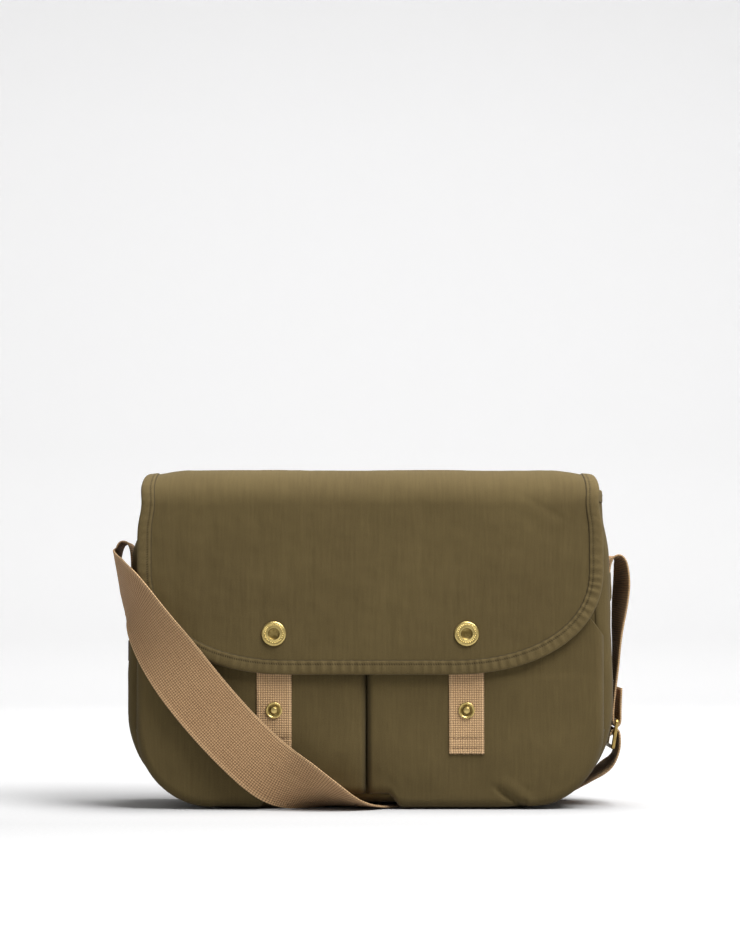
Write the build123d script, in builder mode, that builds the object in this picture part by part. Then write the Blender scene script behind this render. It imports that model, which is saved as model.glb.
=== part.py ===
from build123d import *
import os

# A soft messenger bag that stands on its base. Millimetres. The origin is at
# the middle of the base, +Z is up, +X is to the right and -Y is the front.

# body
HALF_WIDTH = 198.5  # at the belly
MOUTH_HALF_WIDTH = 192.5
BELLY_Z = 110  # the sides lean inwards above this height
CORNER_R = 80
MOUTH_Z = 258
FRONT_Y = -48
BACK_Y = 66
EDGE_R = 12  # the soft round where the sides meet the front and the back
SHELL = 1.8
LINING = 0.6
LINING_INSET = 6  # from the sides and the base
LINING_SLACK = 4  # from the front and the back
GAP = 0.2  # between layers of cloth
SEAM = 0.05  # between panels that are sewn edge to edge
BASE_PAD = 5.6
BASE_HALF = 146
BACK_TOP_Z = 273.2
BINDING_WIDTH = 9

# patch pockets
POCKET_BACK_Y = FRONT_Y - GAP
POCKET_FACE_Y = -57.6
POCKET_CLOTH = 1.6
POCKET_HALF = 190
POCKET_CORNER_R = 63
POCKET_SPLIT = 1.0  # half of the gap between the two pockets
POCKET_Z = 1.0
POCKET_SIDE_Z = 137
POCKET_MOUTH_Z = 160
POCKET_FLAT_X = 172  # the mouth drops to the side seam outside this
POCKET_EDGE_R = 6
HEM_WIDTH = 11
HEM_THICK = 0.8

# flap
FLAP_HALF = 189
FLAP_TOP_Z = 276
FLAP_CLOTH = 1.8
FLAP_FACE_Y = -65.4
FLAP_BOTTOM_Z = 109
FLAP_CORNER_X = 125  # the lower corners are quarter ellipses
FLAP_CORNER_Z = 85
FLAP_BORDER = 11
FLAP_LINING_Y = -62.8
FLAP_LINING_Z = 273.5

# snap fasteners
SNAP_X = 78
SNAP_Z = 142
LOWER_STUD_Z = 80
CAP_R = 10
CAP_DEPTH = 1.9
BARREL_R = 2.0
STUD_R = 6.6
STUD_FLANGE = 0.6
NUB_R = 2.6
NUB_DEPTH = 1.8
POST_R = 1.4
POST_HEAD_R = 5
SOCKET_R = 6.3
SOCKET_BORE_R = 3.4
SOCKET_Y = -60.4
SOCKET_WEB_Y = -62.0
SPRING_Y = -61.2
SPRING_R = 3.08
SPRING_WIRE_R = 0.26
SPRING_ARC = 335  # a split ring

# webbing tabs on the pockets
TAB_WIDTH = 28.5
TAB_THICK = 1.6
TAB_BOTTOM_Z = 45.5
TAB_TOP_Z = 157
TAB_BACK_Y = POCKET_FACE_Y - GAP
TAB_FACE_Y = TAB_BACK_Y - TAB_THICK

# shoulder strap
WEBBING = 50
WEB_THICK = 1.8
CHANNEL_WIDTH = 58
CHANNEL_DEPTH = 4.7
# middle, turn from the bag's depth and length of each stretch of channel
BASE_CHANNELS = [(-14, -46, -47, 90), (11.5, 3.5, -20.7, 200), (133, 60, 37, 130)]
STRAP_SPAN = 38  # sections in one loft
PATCH_LOW_Z = 162
PATCH_HIGH_Z = 192
PATCH_DEPTH = 4.2
PATCH_CLOTH = 1.0

# side zip
ZIP_Y = 14
ZIP_LOW_Z = 72
ZIP_HIGH_Z = 150
ZIP_WINDOW = 13
TAPE_X = -197.5  # the tape's outer face
TAPE_THICK = 0.6
TOOTH_PITCH = 2.0
SLIDER_Z = 141
SLIDER_HEIGHT = 9
SLIDER_WIDTH = 8
SLIDER_X = -200.6  # the slider's outer face
PULL_PIVOT = (-201.3, 144)
PULL_THICK = 0.9
PULL_WIDTH = 6
PULL_LOW_Z = 126
LEATHER_HIGH_Z = 136
LEATHER_LOW_Z = 118.7

# buckle: the middles of its top and bottom bars
BUCKLE_TOP = (202.9, 70)
BUCKLE_LOW = (199.4, 48.5)
BUCKLE_BAR = 3.0
BUCKLE_WIDTH = 58
BUCKLE_SLOT = 51.6
BUCKLE_Y = 1

# The long strap's line from the bag's left side to the buckle: the points of
# its route, and at each the way from there to the strap's front edge.
LONG_ROUTE = [
    ((-197.0, 0, 176), (0, -1, 0)),
    ((-196.2, 0, 198), (0, -1, 0)),
    ((-198.4, 0, 216.5), (0, -1, 0.02)),
    ((-207.5, 0, 218), (0, -1, 0.01)),
    ((-211, -0.8, 205), (0, -0.99, 0.08)),
    ((-210.5, -7, 194), (0.02, -0.97, 0.24)),
    ((-208, -17.5, 187), (0.06, -0.93, 0.36)),
    ((-204.5, -31, 182.5), (0.12, -0.9, 0.42)),
    ((-199.5, -46.5, 177.5), (0.24, -0.87, 0.44)),
    ((-190.5, -61.5, 166.5), (0.44, -0.73, 0.52)),
    ((-177.5, -70.5, 144.5), (0.66, -0.54, 0.52)),
    ((-160.5, -72.5, 120), (0.74, -0.24, 0.62)),
    ((-143.8, -72, 97.5), (0.74, -0.08, 0.66)),
    ((-123.5, -71.5, 73.5), (0.71, -0.05, 0.7)),
    ((-103, -71, 52), (0.67, -0.05, 0.74)),
    ((-80, -70.5, 31), (0.62, -0.1, 0.78)),
    ((-60, -69.6, 21), (0.6, -0.42, 0.68)),
    ((-40, -64.3, 12.5), (0.62, -0.68, 0.38)),
    ((-22, -54.6, 4.2), (0.66, -0.75, 0.08)),
    ((-6, -38, 1.3), (0.74, -0.67, 0)),
    ((10, -5, 1.2), (0.9, -0.43, 0)),
    ((25, 40, 1.2), (0.93, -0.38, 0)),
    ((40, 84, 1.4), (0.92, -0.39, 0)),
    ((49, 107, 8.7), (0.86, -0.3, 0.28)),
    ((57, 126, 20.3), (0.6, -0.2, 0.72)),
    ((68, 142, 26), (0.2, -0.1, 0.97)),
    ((84, 148, 26.2), (0, 0, 1)),
    ((100, 141, 26.2), (-0.15, -0.05, 0.98)),
    ((110, 124, 21.8), (-0.5, -0.27, 0.75)),
    ((113.5, 105, 12.4), (-0.76, -0.45, 0.3)),
    ((120, 84, 3.5), (-0.78, -0.62, 0.02)),
    ((128, 65, 1.3), (-0.72, -0.69, 0)),
    ((146, 44, 1.3), (-0.68, -0.73, 0)),
    ((167, 24, 8.5), (-0.5, -0.84, -0.2)),
    ((186, 12, 25.5), (-0.25, -0.93, -0.27)),
    ((201, 5, 34.5), (-0.1, -0.97, -0.2)),
    ((205.6, 2, 48), (0, -0.99, -0.1)),
    ((205.5, 1, 59.5), (0, -1, 0)),
    ((203.6, 1, 63.3), (0, -1, 0)),
    ((198.6, 1, 63.2), (0, -1, 0)),
    ((197.6, 1, 58), (0, -1, 0)),
]

# The short strap's line from the bag's right side to the buckle's top bar,
# round it and back up along itself.
SHORT_ROUTE = [
    ((197.3, 0, 171), (0, -1, 0)),
    ((196.6, 0, 191), (0, -1, 0)),
    ((198.3, 0, 205.5), (0.06, -1, 0)),
    ((208.5, -0.5, 205.5), (0.1, -0.99, 0)),
    ((210, -1, 186), (0.18, -0.98, -0.04)),
    ((208.3, -1, 168), (0.17, -0.98, -0.02)),
    ((206.3, 0, 150), (0.1, -0.99, 0)),
    ((205.2, 0, 132), (0.03, -1, 0)),
    ((204.3, 1, 113), (0, -1, 0)),
    ((202, 1, 96), (0, -1, 0)),
    ((200.2, 1, 80), (0, -1, 0)),
    ((199.7, 1, 68), (0, -1, 0)),
    ((202.9, 1, 64.9), (0, -1, 0)),
    ((206.2, 1, 68), (0, -1, 0)),
    ((206, 1, 80), (0, -1, 0)),
    ((207, 1, 97), (0, -1, 0)),
]


def front_plane(y):
    """A drawing plane that faces the front, at a given depth."""
    return Plane.XZ.offset(-y)


def side_x(z):
    """Half the body's width at a height above the belly."""
    lean = (HALF_WIDTH - MOUTH_HALF_WIDTH) / (MOUTH_Z - BELLY_Z)
    return HALF_WIDTH - (z - BELLY_Z) * lean


def body_slab(inset, top, near_y, far_y, low):
    """A block with the body's front view, from one depth to another."""
    half = HALF_WIDTH - inset
    high_half = side_x(top) - inset
    with BuildPart() as slab:
        with BuildSketch(front_plane(far_y)):
            with BuildLine():
                Polyline(
                    (-half, low), (half, low), (half, BELLY_Z), (high_half, top),
                    (-high_half, top), (-half, BELLY_Z), close=True,
                )
            make_face()
            fillet(vertices().group_by(Axis.Y)[0], CORNER_R - inset)
        extrude(amount=far_y - near_y)
    return slab.part


def soft_body(inset, top, low):
    """The body's solid shape with round front and back edges."""
    with BuildPart() as block:
        add(body_slab(inset, top, FRONT_Y + inset, BACK_Y - inset, low))
        ends = block.faces().sort_by(Axis.Y)
        rim = ends[0].edges() + ends[-1].edges()
        fillet(rim.filter_by(lambda e: e.center().Z < top - 1), EDGE_R - inset)
    return block.part


def pocket_outline(inset, low, top):
    """The front view of both pockets together, above a given height."""
    half = POCKET_HALF - inset
    with BuildSketch(Plane.XZ) as outline:
        with BuildLine():
            Polyline((-half, low), (half, low), (half, top), (-half, top), close=True)
        make_face()
        fillet(vertices().group_by(Axis.Y)[0], POCKET_CORNER_R - inset)
    return outline.sketch


def flap_outline(inset, top):
    """The front view of the flap's hanging part."""
    half = FLAP_HALF - inset
    low = FLAP_BOTTOM_Z + inset
    corner = (FLAP_HALF - FLAP_CORNER_X, FLAP_BOTTOM_Z + FLAP_CORNER_Z)
    radii = (FLAP_CORNER_X - inset, FLAP_CORNER_Z - inset)
    with BuildSketch(Plane.XZ) as outline:
        with BuildLine():
            Line((0, low), (corner[0], low))
            EllipticalCenterArc(corner, *radii, start_angle=270, arc_size=90)
            Line((half, corner[1]), (half, top))
            Line((half, top), (0, top))
            mirror(about=Plane.YZ)
        make_face()
    return outline.sketch


def facing(x, y, z):
    """A drawing plane that faces the front, centred on a point."""
    return Plane(origin=(x, y, z), x_dir=(1, 0, 0), z_dir=(0, -1, 0))


def strap_sections(route):
    """Planes across a strap, at places on the smooth line of its route."""
    points = [Vector(*p) for p, _ in route]
    edges = [Vector(*e).normalized() for _, e in route]
    places = [(points[0], points[1] - points[0], edges[0])]
    for i in range(1, len(points) - 1):
        before, here, after = points[i - 1], points[i], points[i + 1]
        middle = (before + here * 6 + after) * (1 / 8)
        turn = edges[i - 1] + edges[i] * 6 + edges[i + 1]
        places.append((middle, after - before, turn))
        if i < len(points) - 2:
            places.append(((here + after) * 0.5, after - here, edges[i] + edges[i + 1]))
    places.append((points[-1], points[-1] - points[-2], edges[-1]))
    sections = []
    for place, along, across in places:
        along = along.normalized()
        across = (across - along * across.dot(along)).normalized()
        sections.append(Plane(origin=place, x_dir=across, z_dir=along))
    return sections


os.makedirs("parts", exist_ok=True)

# ---------------------------------------------------------------- body shell

body_outside = soft_body(0, MOUTH_Z, 0)
body_inside = soft_body(SHELL, MOUTH_Z + 1, SHELL)
front_window = body_slab(EDGE_R, MOUTH_Z + 2, FRONT_Y - 1, BACK_Y + 1, EDGE_R)

with BuildPart() as side_and_base:
    add(body_outside)
    add(body_inside, mode=Mode.SUBTRACT)
    add(front_window, mode=Mode.SUBTRACT)

depth_mid = (FRONT_Y + BACK_Y) / 2
side_block = Location(((HALF_WIDTH + BASE_HALF) / 2 + SEAM, depth_mid, MOUTH_Z / 2))
side_size = (HALF_WIDTH - BASE_HALF, BACK_Y - FRONT_Y + 2, MOUTH_Z + 2)

with BuildPart() as gusset_right:
    add(side_and_base.part)
    with Locations(side_block):
        Box(*side_size, mode=Mode.INTERSECT)
gusset_right.part.label = "gusset_right"
export_step(gusset_right.part, "parts/gusset_right.step")

with BuildPart() as gusset_left:
    add(gusset_right.part.mirror(Plane.YZ))
    with Locations((-HALF_WIDTH, ZIP_Y, (ZIP_LOW_Z + ZIP_HIGH_Z) / 2)):
        Box(12, ZIP_WINDOW, ZIP_HIGH_Z - ZIP_LOW_Z + 4, mode=Mode.SUBTRACT)
gusset_left.part.label = "gusset_left"
export_step(gusset_left.part, "parts/gusset_left.step")

# The base is padded, and the strap that runs under it presses two channels.
with BuildPart() as base_room:
    add(body_inside)
    with Locations((0, depth_mid, BASE_PAD + EDGE_R)):
        Box(3 * BASE_HALF, BACK_Y - FRONT_Y, 2 * EDGE_R, mode=Mode.INTERSECT)

with BuildPart() as base_panel:
    add(body_outside)
    with Locations((0, depth_mid, EDGE_R / 2)):
        Box(2 * BASE_HALF, BACK_Y - FRONT_Y + 2, EDGE_R, mode=Mode.INTERSECT)
    add(base_room.part, mode=Mode.SUBTRACT)
    for x, y, turn, length in BASE_CHANNELS:
        with BuildSketch(Plane.XY.offset(-1)):
            with Locations(Location((x, y, 0), (0, 0, turn))):
                Rectangle(CHANNEL_WIDTH, length)
        extrude(amount=1 + CHANNEL_DEPTH, mode=Mode.SUBTRACT)
base_panel.part.label = "base_panel"
export_step(base_panel.part, "parts/base_panel.step")

panel_inset = EDGE_R + SEAM
with BuildPart() as front_panel:
    add(body_slab(panel_inset, MOUTH_Z, FRONT_Y, FRONT_Y + SHELL, panel_inset))
front_panel.part.label = "front_panel"
export_step(front_panel.part, "parts/front_panel.step")

with BuildPart() as back_panel:
    add(body_slab(panel_inset, BACK_TOP_Z, BACK_Y - SHELL, BACK_Y, panel_inset))
back_panel.part.label = "back_panel"
export_step(back_panel.part, "parts/back_panel.step")

# ------------------------------------------------------------------- lining

lining_front = FRONT_Y + LINING_SLACK
lining_back = BACK_Y - LINING_SLACK
with BuildPart() as lining:
    add(body_slab(LINING_INSET, MOUTH_Z - 1, lining_front, lining_back, LINING_INSET))
    inner_inset = LINING_INSET + LINING
    add(
        body_slab(
            inner_inset, MOUTH_Z + 1, lining_front + LINING, lining_back - LINING, inner_inset
        ),
        mode=Mode.SUBTRACT,
    )
lining.part.label = "lining"
export_step(lining.part, "parts/lining.step")

INNER_POCKET = (190, 130)
inner_pocket_y = lining_back - LINING - GAP
with BuildPart() as inner_pocket:
    with BuildSketch(facing(0, inner_pocket_y, 130)):
        RectangleRounded(*INNER_POCKET, 12)
    extrude(amount=HEM_THICK)
inner_pocket.part.label = "inner_pocket"
export_step(inner_pocket.part, "parts/inner_pocket.step")


def mouth_ring(out, low, top):
    """A round-cornered block round the mouth, a distance outside the shell."""
    width = 2 * (side_x(MOUTH_Z - BINDING_WIDTH) + out)
    with BuildPart() as ring:
        with BuildSketch(Plane.XY.offset(low)):
            with Locations((0, depth_mid)):
                RectangleRounded(width, BACK_Y - FRONT_Y + 2 * out, EDGE_R + out)
        extrude(amount=top - low)
    return ring.part


wall_depth = inner_inset
groove = mouth_ring(GAP, MOUTH_Z - 20, MOUTH_Z + GAP) - mouth_ring(
    -wall_depth - 2 * GAP, MOUTH_Z - 20, MOUTH_Z + GAP
)
with BuildPart() as mouth_binding:
    add(mouth_ring(GAP + HEM_THICK, MOUTH_Z - BINDING_WIDTH, MOUTH_Z + 1))
    add(
        mouth_ring(-wall_depth - 2 * GAP - HEM_THICK, MOUTH_Z - 20, MOUTH_Z + 2),
        mode=Mode.SUBTRACT,
    )
    add(groove, mode=Mode.SUBTRACT)
    with Locations((0, BACK_Y, MOUTH_Z)):
        Box(2 * HALF_WIDTH, 4 * EDGE_R, 40, mode=Mode.SUBTRACT)
mouth_binding.part.label = "mouth_binding"
export_step(mouth_binding.part, "parts/mouth_binding.step")

# ------------------------------------------------------------- front pockets

pocket_top = POCKET_MOUTH_Z + 10
STRAP_NOTCH = (106, 12)
STRAP_NOTCH_X = -29

with BuildPart() as pocket_block:
    with BuildSketch(Plane.XZ):
        add(pocket_outline(0, POCKET_Z, pocket_top))
    extrude(amount=POCKET_BACK_Y - POCKET_FACE_Y)
    rim = pocket_block.faces().sort_by(Axis.Y)[0].edges()
    fillet(rim.filter_by(lambda e: e.center().Z < pocket_top - 1), POCKET_EDGE_R)
pocket_solid = pocket_block.part.moved(Location((0, POCKET_BACK_Y, 0)))

pocket_room_depth = POCKET_BACK_Y - POCKET_FACE_Y - POCKET_CLOTH
with BuildPart() as pocket_room:
    with BuildSketch(Plane.XZ):
        add(pocket_outline(POCKET_CLOTH, POCKET_Z + POCKET_CLOTH, pocket_top + 1))
    extrude(amount=pocket_room_depth)
    rim = pocket_room.faces().sort_by(Axis.Y)[0].edges()
    fillet(rim.filter_by(lambda e: e.center().Z < pocket_top), POCKET_EDGE_R - POCKET_CLOTH)
pocket_hollow = pocket_room.part.moved(Location((0, POCKET_BACK_Y, 0)))

for side, name in [(-1, "left"), (1, "right")]:
    with BuildPart() as hollow:
        add(pocket_hollow)
        split_x = POCKET_SPLIT + POCKET_CLOTH + POCKET_HALF / 2
        with Locations((side * split_x, POCKET_FACE_Y, pocket_top / 2)):
            Box(POCKET_HALF, 40, pocket_top + 10, mode=Mode.INTERSECT)
    with BuildPart() as pocket:
        add(pocket_solid)
        with Locations((side * (POCKET_SPLIT + POCKET_HALF / 2), POCKET_FACE_Y, 80)):
            Box(POCKET_HALF, 40, 200, mode=Mode.INTERSECT)
        add(hollow.part, mode=Mode.SUBTRACT)
        with BuildSketch(front_plane(FRONT_Y + 5)):
            with BuildLine():
                Polyline(
                    (0, POCKET_MOUTH_Z), (side * POCKET_FLAT_X, POCKET_MOUTH_Z),
                    (side * POCKET_HALF, POCKET_SIDE_Z), (side * 210, POCKET_SIDE_Z),
                    (side * 210, 190), (0, 190), close=True,
                )
            make_face()
        extrude(amount=20, mode=Mode.SUBTRACT)
        with Locations((STRAP_NOTCH_X, POCKET_FACE_Y, 0)):
            Box(STRAP_NOTCH[0], 40, 2 * STRAP_NOTCH[1], mode=Mode.SUBTRACT)
        with BuildSketch(front_plane(FRONT_Y)):
            with Locations((side * SNAP_X, SNAP_Z), (side * SNAP_X, LOWER_STUD_Z)):
                Circle(POST_R + GAP)
        extrude(amount=20, mode=Mode.SUBTRACT)
    pocket.part.label = f"pocket_{name}"
    export_step(pocket.part, f"parts/pocket_{name}.step")

    hem_end = POCKET_HALF - POCKET_EDGE_R - 1
    hem_drop = (POCKET_MOUTH_Z - POCKET_SIDE_Z) / (POCKET_HALF - POCKET_FLAT_X)
    end_z = POCKET_MOUTH_Z - (hem_end - POCKET_FLAT_X) * hem_drop
    hem_y = POCKET_FACE_Y + POCKET_CLOTH + HEM_THICK + 0.1
    with BuildPart() as pocket_hem:
        with BuildSketch(front_plane(hem_y)):
            with BuildLine():
                Polyline(
                    (side * 4, POCKET_MOUTH_Z), (side * POCKET_FLAT_X, POCKET_MOUTH_Z),
                    (side * hem_end, end_z), (side * hem_end, end_z - HEM_WIDTH),
                    (side * POCKET_FLAT_X, POCKET_MOUTH_Z - HEM_WIDTH),
                    (side * 4, POCKET_MOUTH_Z - HEM_WIDTH), close=True,
                )
            make_face()
        extrude(amount=HEM_THICK)
    pocket_hem.part.label = f"pocket_hem_{name}"
    export_step(pocket_hem.part, f"parts/pocket_hem_{name}.step")

    with BuildPart() as tab:
        with BuildSketch(facing(side * SNAP_X, TAB_BACK_Y, 0)):
            with Locations((0, (TAB_BOTTOM_Z + TAB_TOP_Z) / 2)):
                Rectangle(TAB_WIDTH, TAB_TOP_Z - TAB_BOTTOM_Z)
            with Locations((0, SNAP_Z), (0, LOWER_STUD_Z)):
                Circle(POST_R + GAP, mode=Mode.SUBTRACT)
        extrude(amount=TAB_THICK)
    tab.part.label = f"tab_{name}"
    export_step(tab.part, f"parts/tab_{name}.step")

# ---------------------------------------------------------------------- flap

flap_seam_z = FLAP_TOP_Z - FLAP_CLOTH - GAP
flap_back_y = FLAP_FACE_Y + FLAP_CLOTH
snap_holes = [(-SNAP_X, SNAP_Z), (SNAP_X, SNAP_Z)]

with BuildPart() as flap_front:
    with BuildSketch(front_plane(flap_back_y)):
        add(flap_outline(FLAP_BORDER + SEAM, flap_seam_z).faces()[0])
        with Locations(*snap_holes):
            Circle(BARREL_R + GAP, mode=Mode.SUBTRACT)
    extrude(amount=FLAP_CLOTH)
flap_front.part.label = "flap_front"
export_step(flap_front.part, "parts/flap_front.step")

with BuildPart() as flap_border:
    with BuildSketch(front_plane(flap_back_y)):
        add(flap_outline(0, flap_seam_z).faces()[0])
        add(flap_outline(FLAP_BORDER, flap_seam_z + 1).faces()[0], mode=Mode.SUBTRACT)
    extrude(amount=FLAP_CLOTH)
flap_border.part.label = "flap_border"
export_step(flap_border.part, "parts/flap_border.step")

with BuildPart() as flap_lining:
    with BuildSketch(front_plane(FLAP_LINING_Y)):
        add(flap_outline(1, FLAP_LINING_Z - GAP).faces()[0])
        with Locations(*snap_holes):
            Circle(BARREL_R + GAP, mode=Mode.SUBTRACT)
    extrude(amount=LINING)
flap_lining.part.label = "flap_lining"
export_step(flap_lining.part, "parts/flap_lining.step")

top_plane = Plane.XY.offset(FLAP_TOP_Z - FLAP_CLOTH)
flap_depth = BACK_Y - FLAP_FACE_Y
flap_mid_y = (BACK_Y + FLAP_FACE_Y) / 2
border_x = FLAP_HALF - FLAP_BORDER / 2
with BuildPart() as flap_top:
    with BuildSketch(top_plane):
        with Locations((0, flap_mid_y)):
            Rectangle(2 * (FLAP_HALF - FLAP_BORDER - SEAM), flap_depth)
    extrude(amount=FLAP_CLOTH)
flap_top.part.label = "flap_top"
export_step(flap_top.part, "parts/flap_top.step")

for side, name in [(-1, "left"), (1, "right")]:
    with BuildPart() as flap_top_border:
        with BuildSketch(top_plane):
            with Locations((side * border_x, flap_mid_y)):
                Rectangle(FLAP_BORDER, flap_depth)
        extrude(amount=FLAP_CLOTH)
    flap_top_border.part.label = f"flap_top_border_{name}"
    export_step(flap_top_border.part, f"parts/flap_top_border_{name}.step")

top_lining_front = FLAP_LINING_Y + GAP
top_lining_back = BACK_Y - SHELL - GAP
with BuildPart() as flap_top_lining:
    with BuildSketch(Plane.XY.offset(FLAP_LINING_Z)):
        with Locations((0, (top_lining_front + top_lining_back) / 2)):
            Rectangle(2 * FLAP_HALF - 2, top_lining_back - top_lining_front)
    extrude(amount=LINING)
flap_top_lining.part.label = "flap_top_lining"
export_step(flap_top_lining.part, "parts/flap_top_lining.step")

# ------------------------------------------------------------ snap fasteners

nub_tip_y = TAB_FACE_Y - STUD_FLANGE - NUB_DEPTH
post_seat_y = POCKET_FACE_Y + POCKET_CLOTH
POST_HEAD = 0.6
STUD_BORE_DEPTH = 1.4
CAP_DIMPLE_R = 5

for level, z in [("upper", SNAP_Z), ("lower", LOWER_STUD_Z)]:
    for side, name in [(-1, "left"), (1, "right")]:
        with BuildPart() as stud:
            with BuildSketch(facing(side * SNAP_X, TAB_FACE_Y, z)):
                Circle(STUD_R)
            extrude(amount=STUD_FLANGE)
            fillet(stud.faces().sort_by(Axis.Y)[0].edges(), STUD_FLANGE / 3)
            with BuildSketch(facing(side * SNAP_X, TAB_FACE_Y - STUD_FLANGE, z)):
                Circle(NUB_R)
            extrude(amount=NUB_DEPTH)
            fillet(stud.faces().sort_by(Axis.Y)[0].edges(), NUB_R / 3)
            with BuildSketch(facing(side * SNAP_X, TAB_FACE_Y, z)):
                Circle(POST_R + SEAM)
            extrude(amount=STUD_BORE_DEPTH, mode=Mode.SUBTRACT)
        stud.part.label = f"stud_{level}_{name}"
        export_step(stud.part, f"parts/stud_{level}_{name}.step")

        with BuildPart() as post:
            with BuildSketch(facing(side * SNAP_X, post_seat_y + POST_HEAD, z)):
                Circle(POST_HEAD_R)
            extrude(amount=POST_HEAD)
            fillet(post.faces().sort_by(Axis.Y)[-1].edges(), POST_HEAD / 3)
            with BuildSketch(facing(side * SNAP_X, post_seat_y, z)):
                Circle(POST_R)
            extrude(amount=post_seat_y - TAB_FACE_Y + STUD_BORE_DEPTH - SEAM)
        post.part.label = f"post_{level}_{name}"
        export_step(post.part, f"parts/post_{level}_{name}.step")

for side, name in [(-1, "left"), (1, "right")]:
    with BuildPart() as cap:
        with BuildSketch(facing(side * SNAP_X, FLAP_FACE_Y, SNAP_Z)):
            Circle(CAP_R)
        extrude(amount=CAP_DEPTH)
        fillet(cap.faces().sort_by(Axis.Y)[0].edges(), CAP_DEPTH * 0.7)
        with BuildSketch(facing(side * SNAP_X, FLAP_FACE_Y - CAP_DEPTH, SNAP_Z)):
            Circle(CAP_DIMPLE_R)
        extrude(amount=-CAP_DEPTH / 4, mode=Mode.SUBTRACT)
        with BuildSketch(facing(side * SNAP_X, FLAP_FACE_Y, SNAP_Z)):
            Circle(BARREL_R)
        extrude(amount=FLAP_FACE_Y - SOCKET_WEB_Y)
    cap.part.label = f"cap_{name}"
    export_step(cap.part, f"parts/cap_{name}.step")

    with BuildPart() as socket:
        with BuildSketch(facing(side * SNAP_X, SOCKET_Y, SNAP_Z)):
            Circle(SOCKET_R)
        extrude(amount=SOCKET_Y - FLAP_LINING_Y)
        fillet(socket.faces().sort_by(Axis.Y)[-1].edges(), STUD_FLANGE)
        with BuildSketch(facing(side * SNAP_X, SOCKET_Y, SNAP_Z)):
            Circle(SOCKET_BORE_R)
        extrude(amount=SOCKET_Y - SOCKET_WEB_Y, mode=Mode.SUBTRACT)
        with BuildSketch(facing(side * SNAP_X, SOCKET_Y, SNAP_Z)):
            Circle(BARREL_R + SEAM)
        extrude(amount=SOCKET_Y - FLAP_LINING_Y, mode=Mode.SUBTRACT)
    socket.part.label = f"socket_{name}"
    export_step(socket.part, f"parts/socket_{name}.step")

    with BuildPart() as spring:
        with BuildSketch(Plane.XY.offset(SNAP_Z)):
            with Locations((side * SNAP_X + SPRING_R, SPRING_Y)):
                Circle(SPRING_WIRE_R)
        spring_axis = Axis((side * SNAP_X, SPRING_Y, SNAP_Z), (0, 1, 0))
        revolve(axis=spring_axis, revolution_arc=SPRING_ARC)
    spring.part.label = f"spring_{name}"
    export_step(spring.part, f"parts/spring_{name}.step")

# ------------------------------------------------------------ shoulder strap

for route, name in [(LONG_ROUTE, "strap_long"), (SHORT_ROUTE, "strap_short")]:
    sections = strap_sections(route)
    with BuildPart() as strap:
        for start in range(0, len(sections) - 1, STRAP_SPAN):
            for section in sections[start : start + STRAP_SPAN + 1]:
                with BuildSketch(section):
                    Rectangle(WEBBING, WEB_THICK)
            loft(ruled=True)
    strap.part.label = name
    export_step(strap.part, f"parts/{name}.step")

rise = BUCKLE_TOP[1] - BUCKLE_LOW[1]
run = BUCKLE_TOP[0] - BUCKLE_LOW[0]
reach = (rise**2 + run**2) ** 0.5
buckle_plane = Plane(
    origin=(BUCKLE_LOW[0] + run / 2, BUCKLE_Y, BUCKLE_LOW[1] + rise / 2),
    x_dir=(0, 1, 0),
    z_dir=(rise, 0, -run),
)
with BuildPart() as strap_buckle:
    with BuildSketch(buckle_plane):
        RectangleRounded(BUCKLE_WIDTH, reach + BUCKLE_BAR, BUCKLE_BAR)
        with Locations((0, reach / 4), (0, -reach / 4)):
            RectangleRounded(BUCKLE_SLOT, reach / 2 - BUCKLE_BAR, 1, mode=Mode.SUBTRACT)
    extrude(amount=BUCKLE_BAR / 2, both=True)
    fillet(strap_buckle.edges().filter_by(lambda e: abs(e.length) > 5), BUCKLE_BAR / 3)
strap_buckle.part.label = "strap_buckle"
export_step(strap_buckle.part, "parts/strap_buckle.step")

PATCH_WIDTH = 56
patch_mid_z = (PATCH_LOW_Z + PATCH_HIGH_Z) / 2
patch_foot = side_x(patch_mid_z) + GAP / 2
lean = (HALF_WIDTH - MOUTH_HALF_WIDTH) / (MOUTH_Z - BELLY_Z)
patch_plane = Plane(
    origin=(patch_foot, 0, patch_mid_z), x_dir=(0, 1, 0), z_dir=(1, 0, lean)
)
with BuildPart() as strap_patch:
    with BuildSketch(patch_plane):
        Rectangle(PATCH_WIDTH, PATCH_HIGH_Z - PATCH_LOW_Z)
    extrude(amount=PATCH_DEPTH)
    fillet(strap_patch.faces().sort_by(Axis.X)[-1].edges(), PATCH_CLOTH)
    with BuildSketch(patch_plane):
        Rectangle(WEBBING + 2, PATCH_HIGH_Z - PATCH_LOW_Z + 2)
    extrude(amount=PATCH_DEPTH - PATCH_CLOTH, mode=Mode.SUBTRACT)
strap_patch.part.label = "strap_patch_right"
export_step(strap_patch.part, "parts/strap_patch_right.step")

patch_left = strap_patch.part.mirror(Plane.YZ)
patch_left.label = "strap_patch_left"
export_step(patch_left, "parts/strap_patch_left.step")

# ------------------------------------------------------------------ side zip


def outwards(x, y, z):
    """A drawing plane that faces the bag's left, centred on a point."""
    return Plane(origin=(x, y, z), x_dir=(0, -1, 0), z_dir=(-1, 0, 0))


zip_mid_z = (ZIP_LOW_Z + ZIP_HIGH_Z) / 2
zip_length = ZIP_HIGH_Z - ZIP_LOW_Z
with BuildPart() as zip_tape:
    with BuildSketch(outwards(TAPE_X + TAPE_THICK, ZIP_Y, zip_mid_z)):
        Rectangle(ZIP_WINDOW - GAP, zip_length)
    extrude(amount=TAPE_THICK)
zip_tape.part.label = "zip_tape"
export_step(zip_tape.part, "parts/zip_tape.step")

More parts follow.
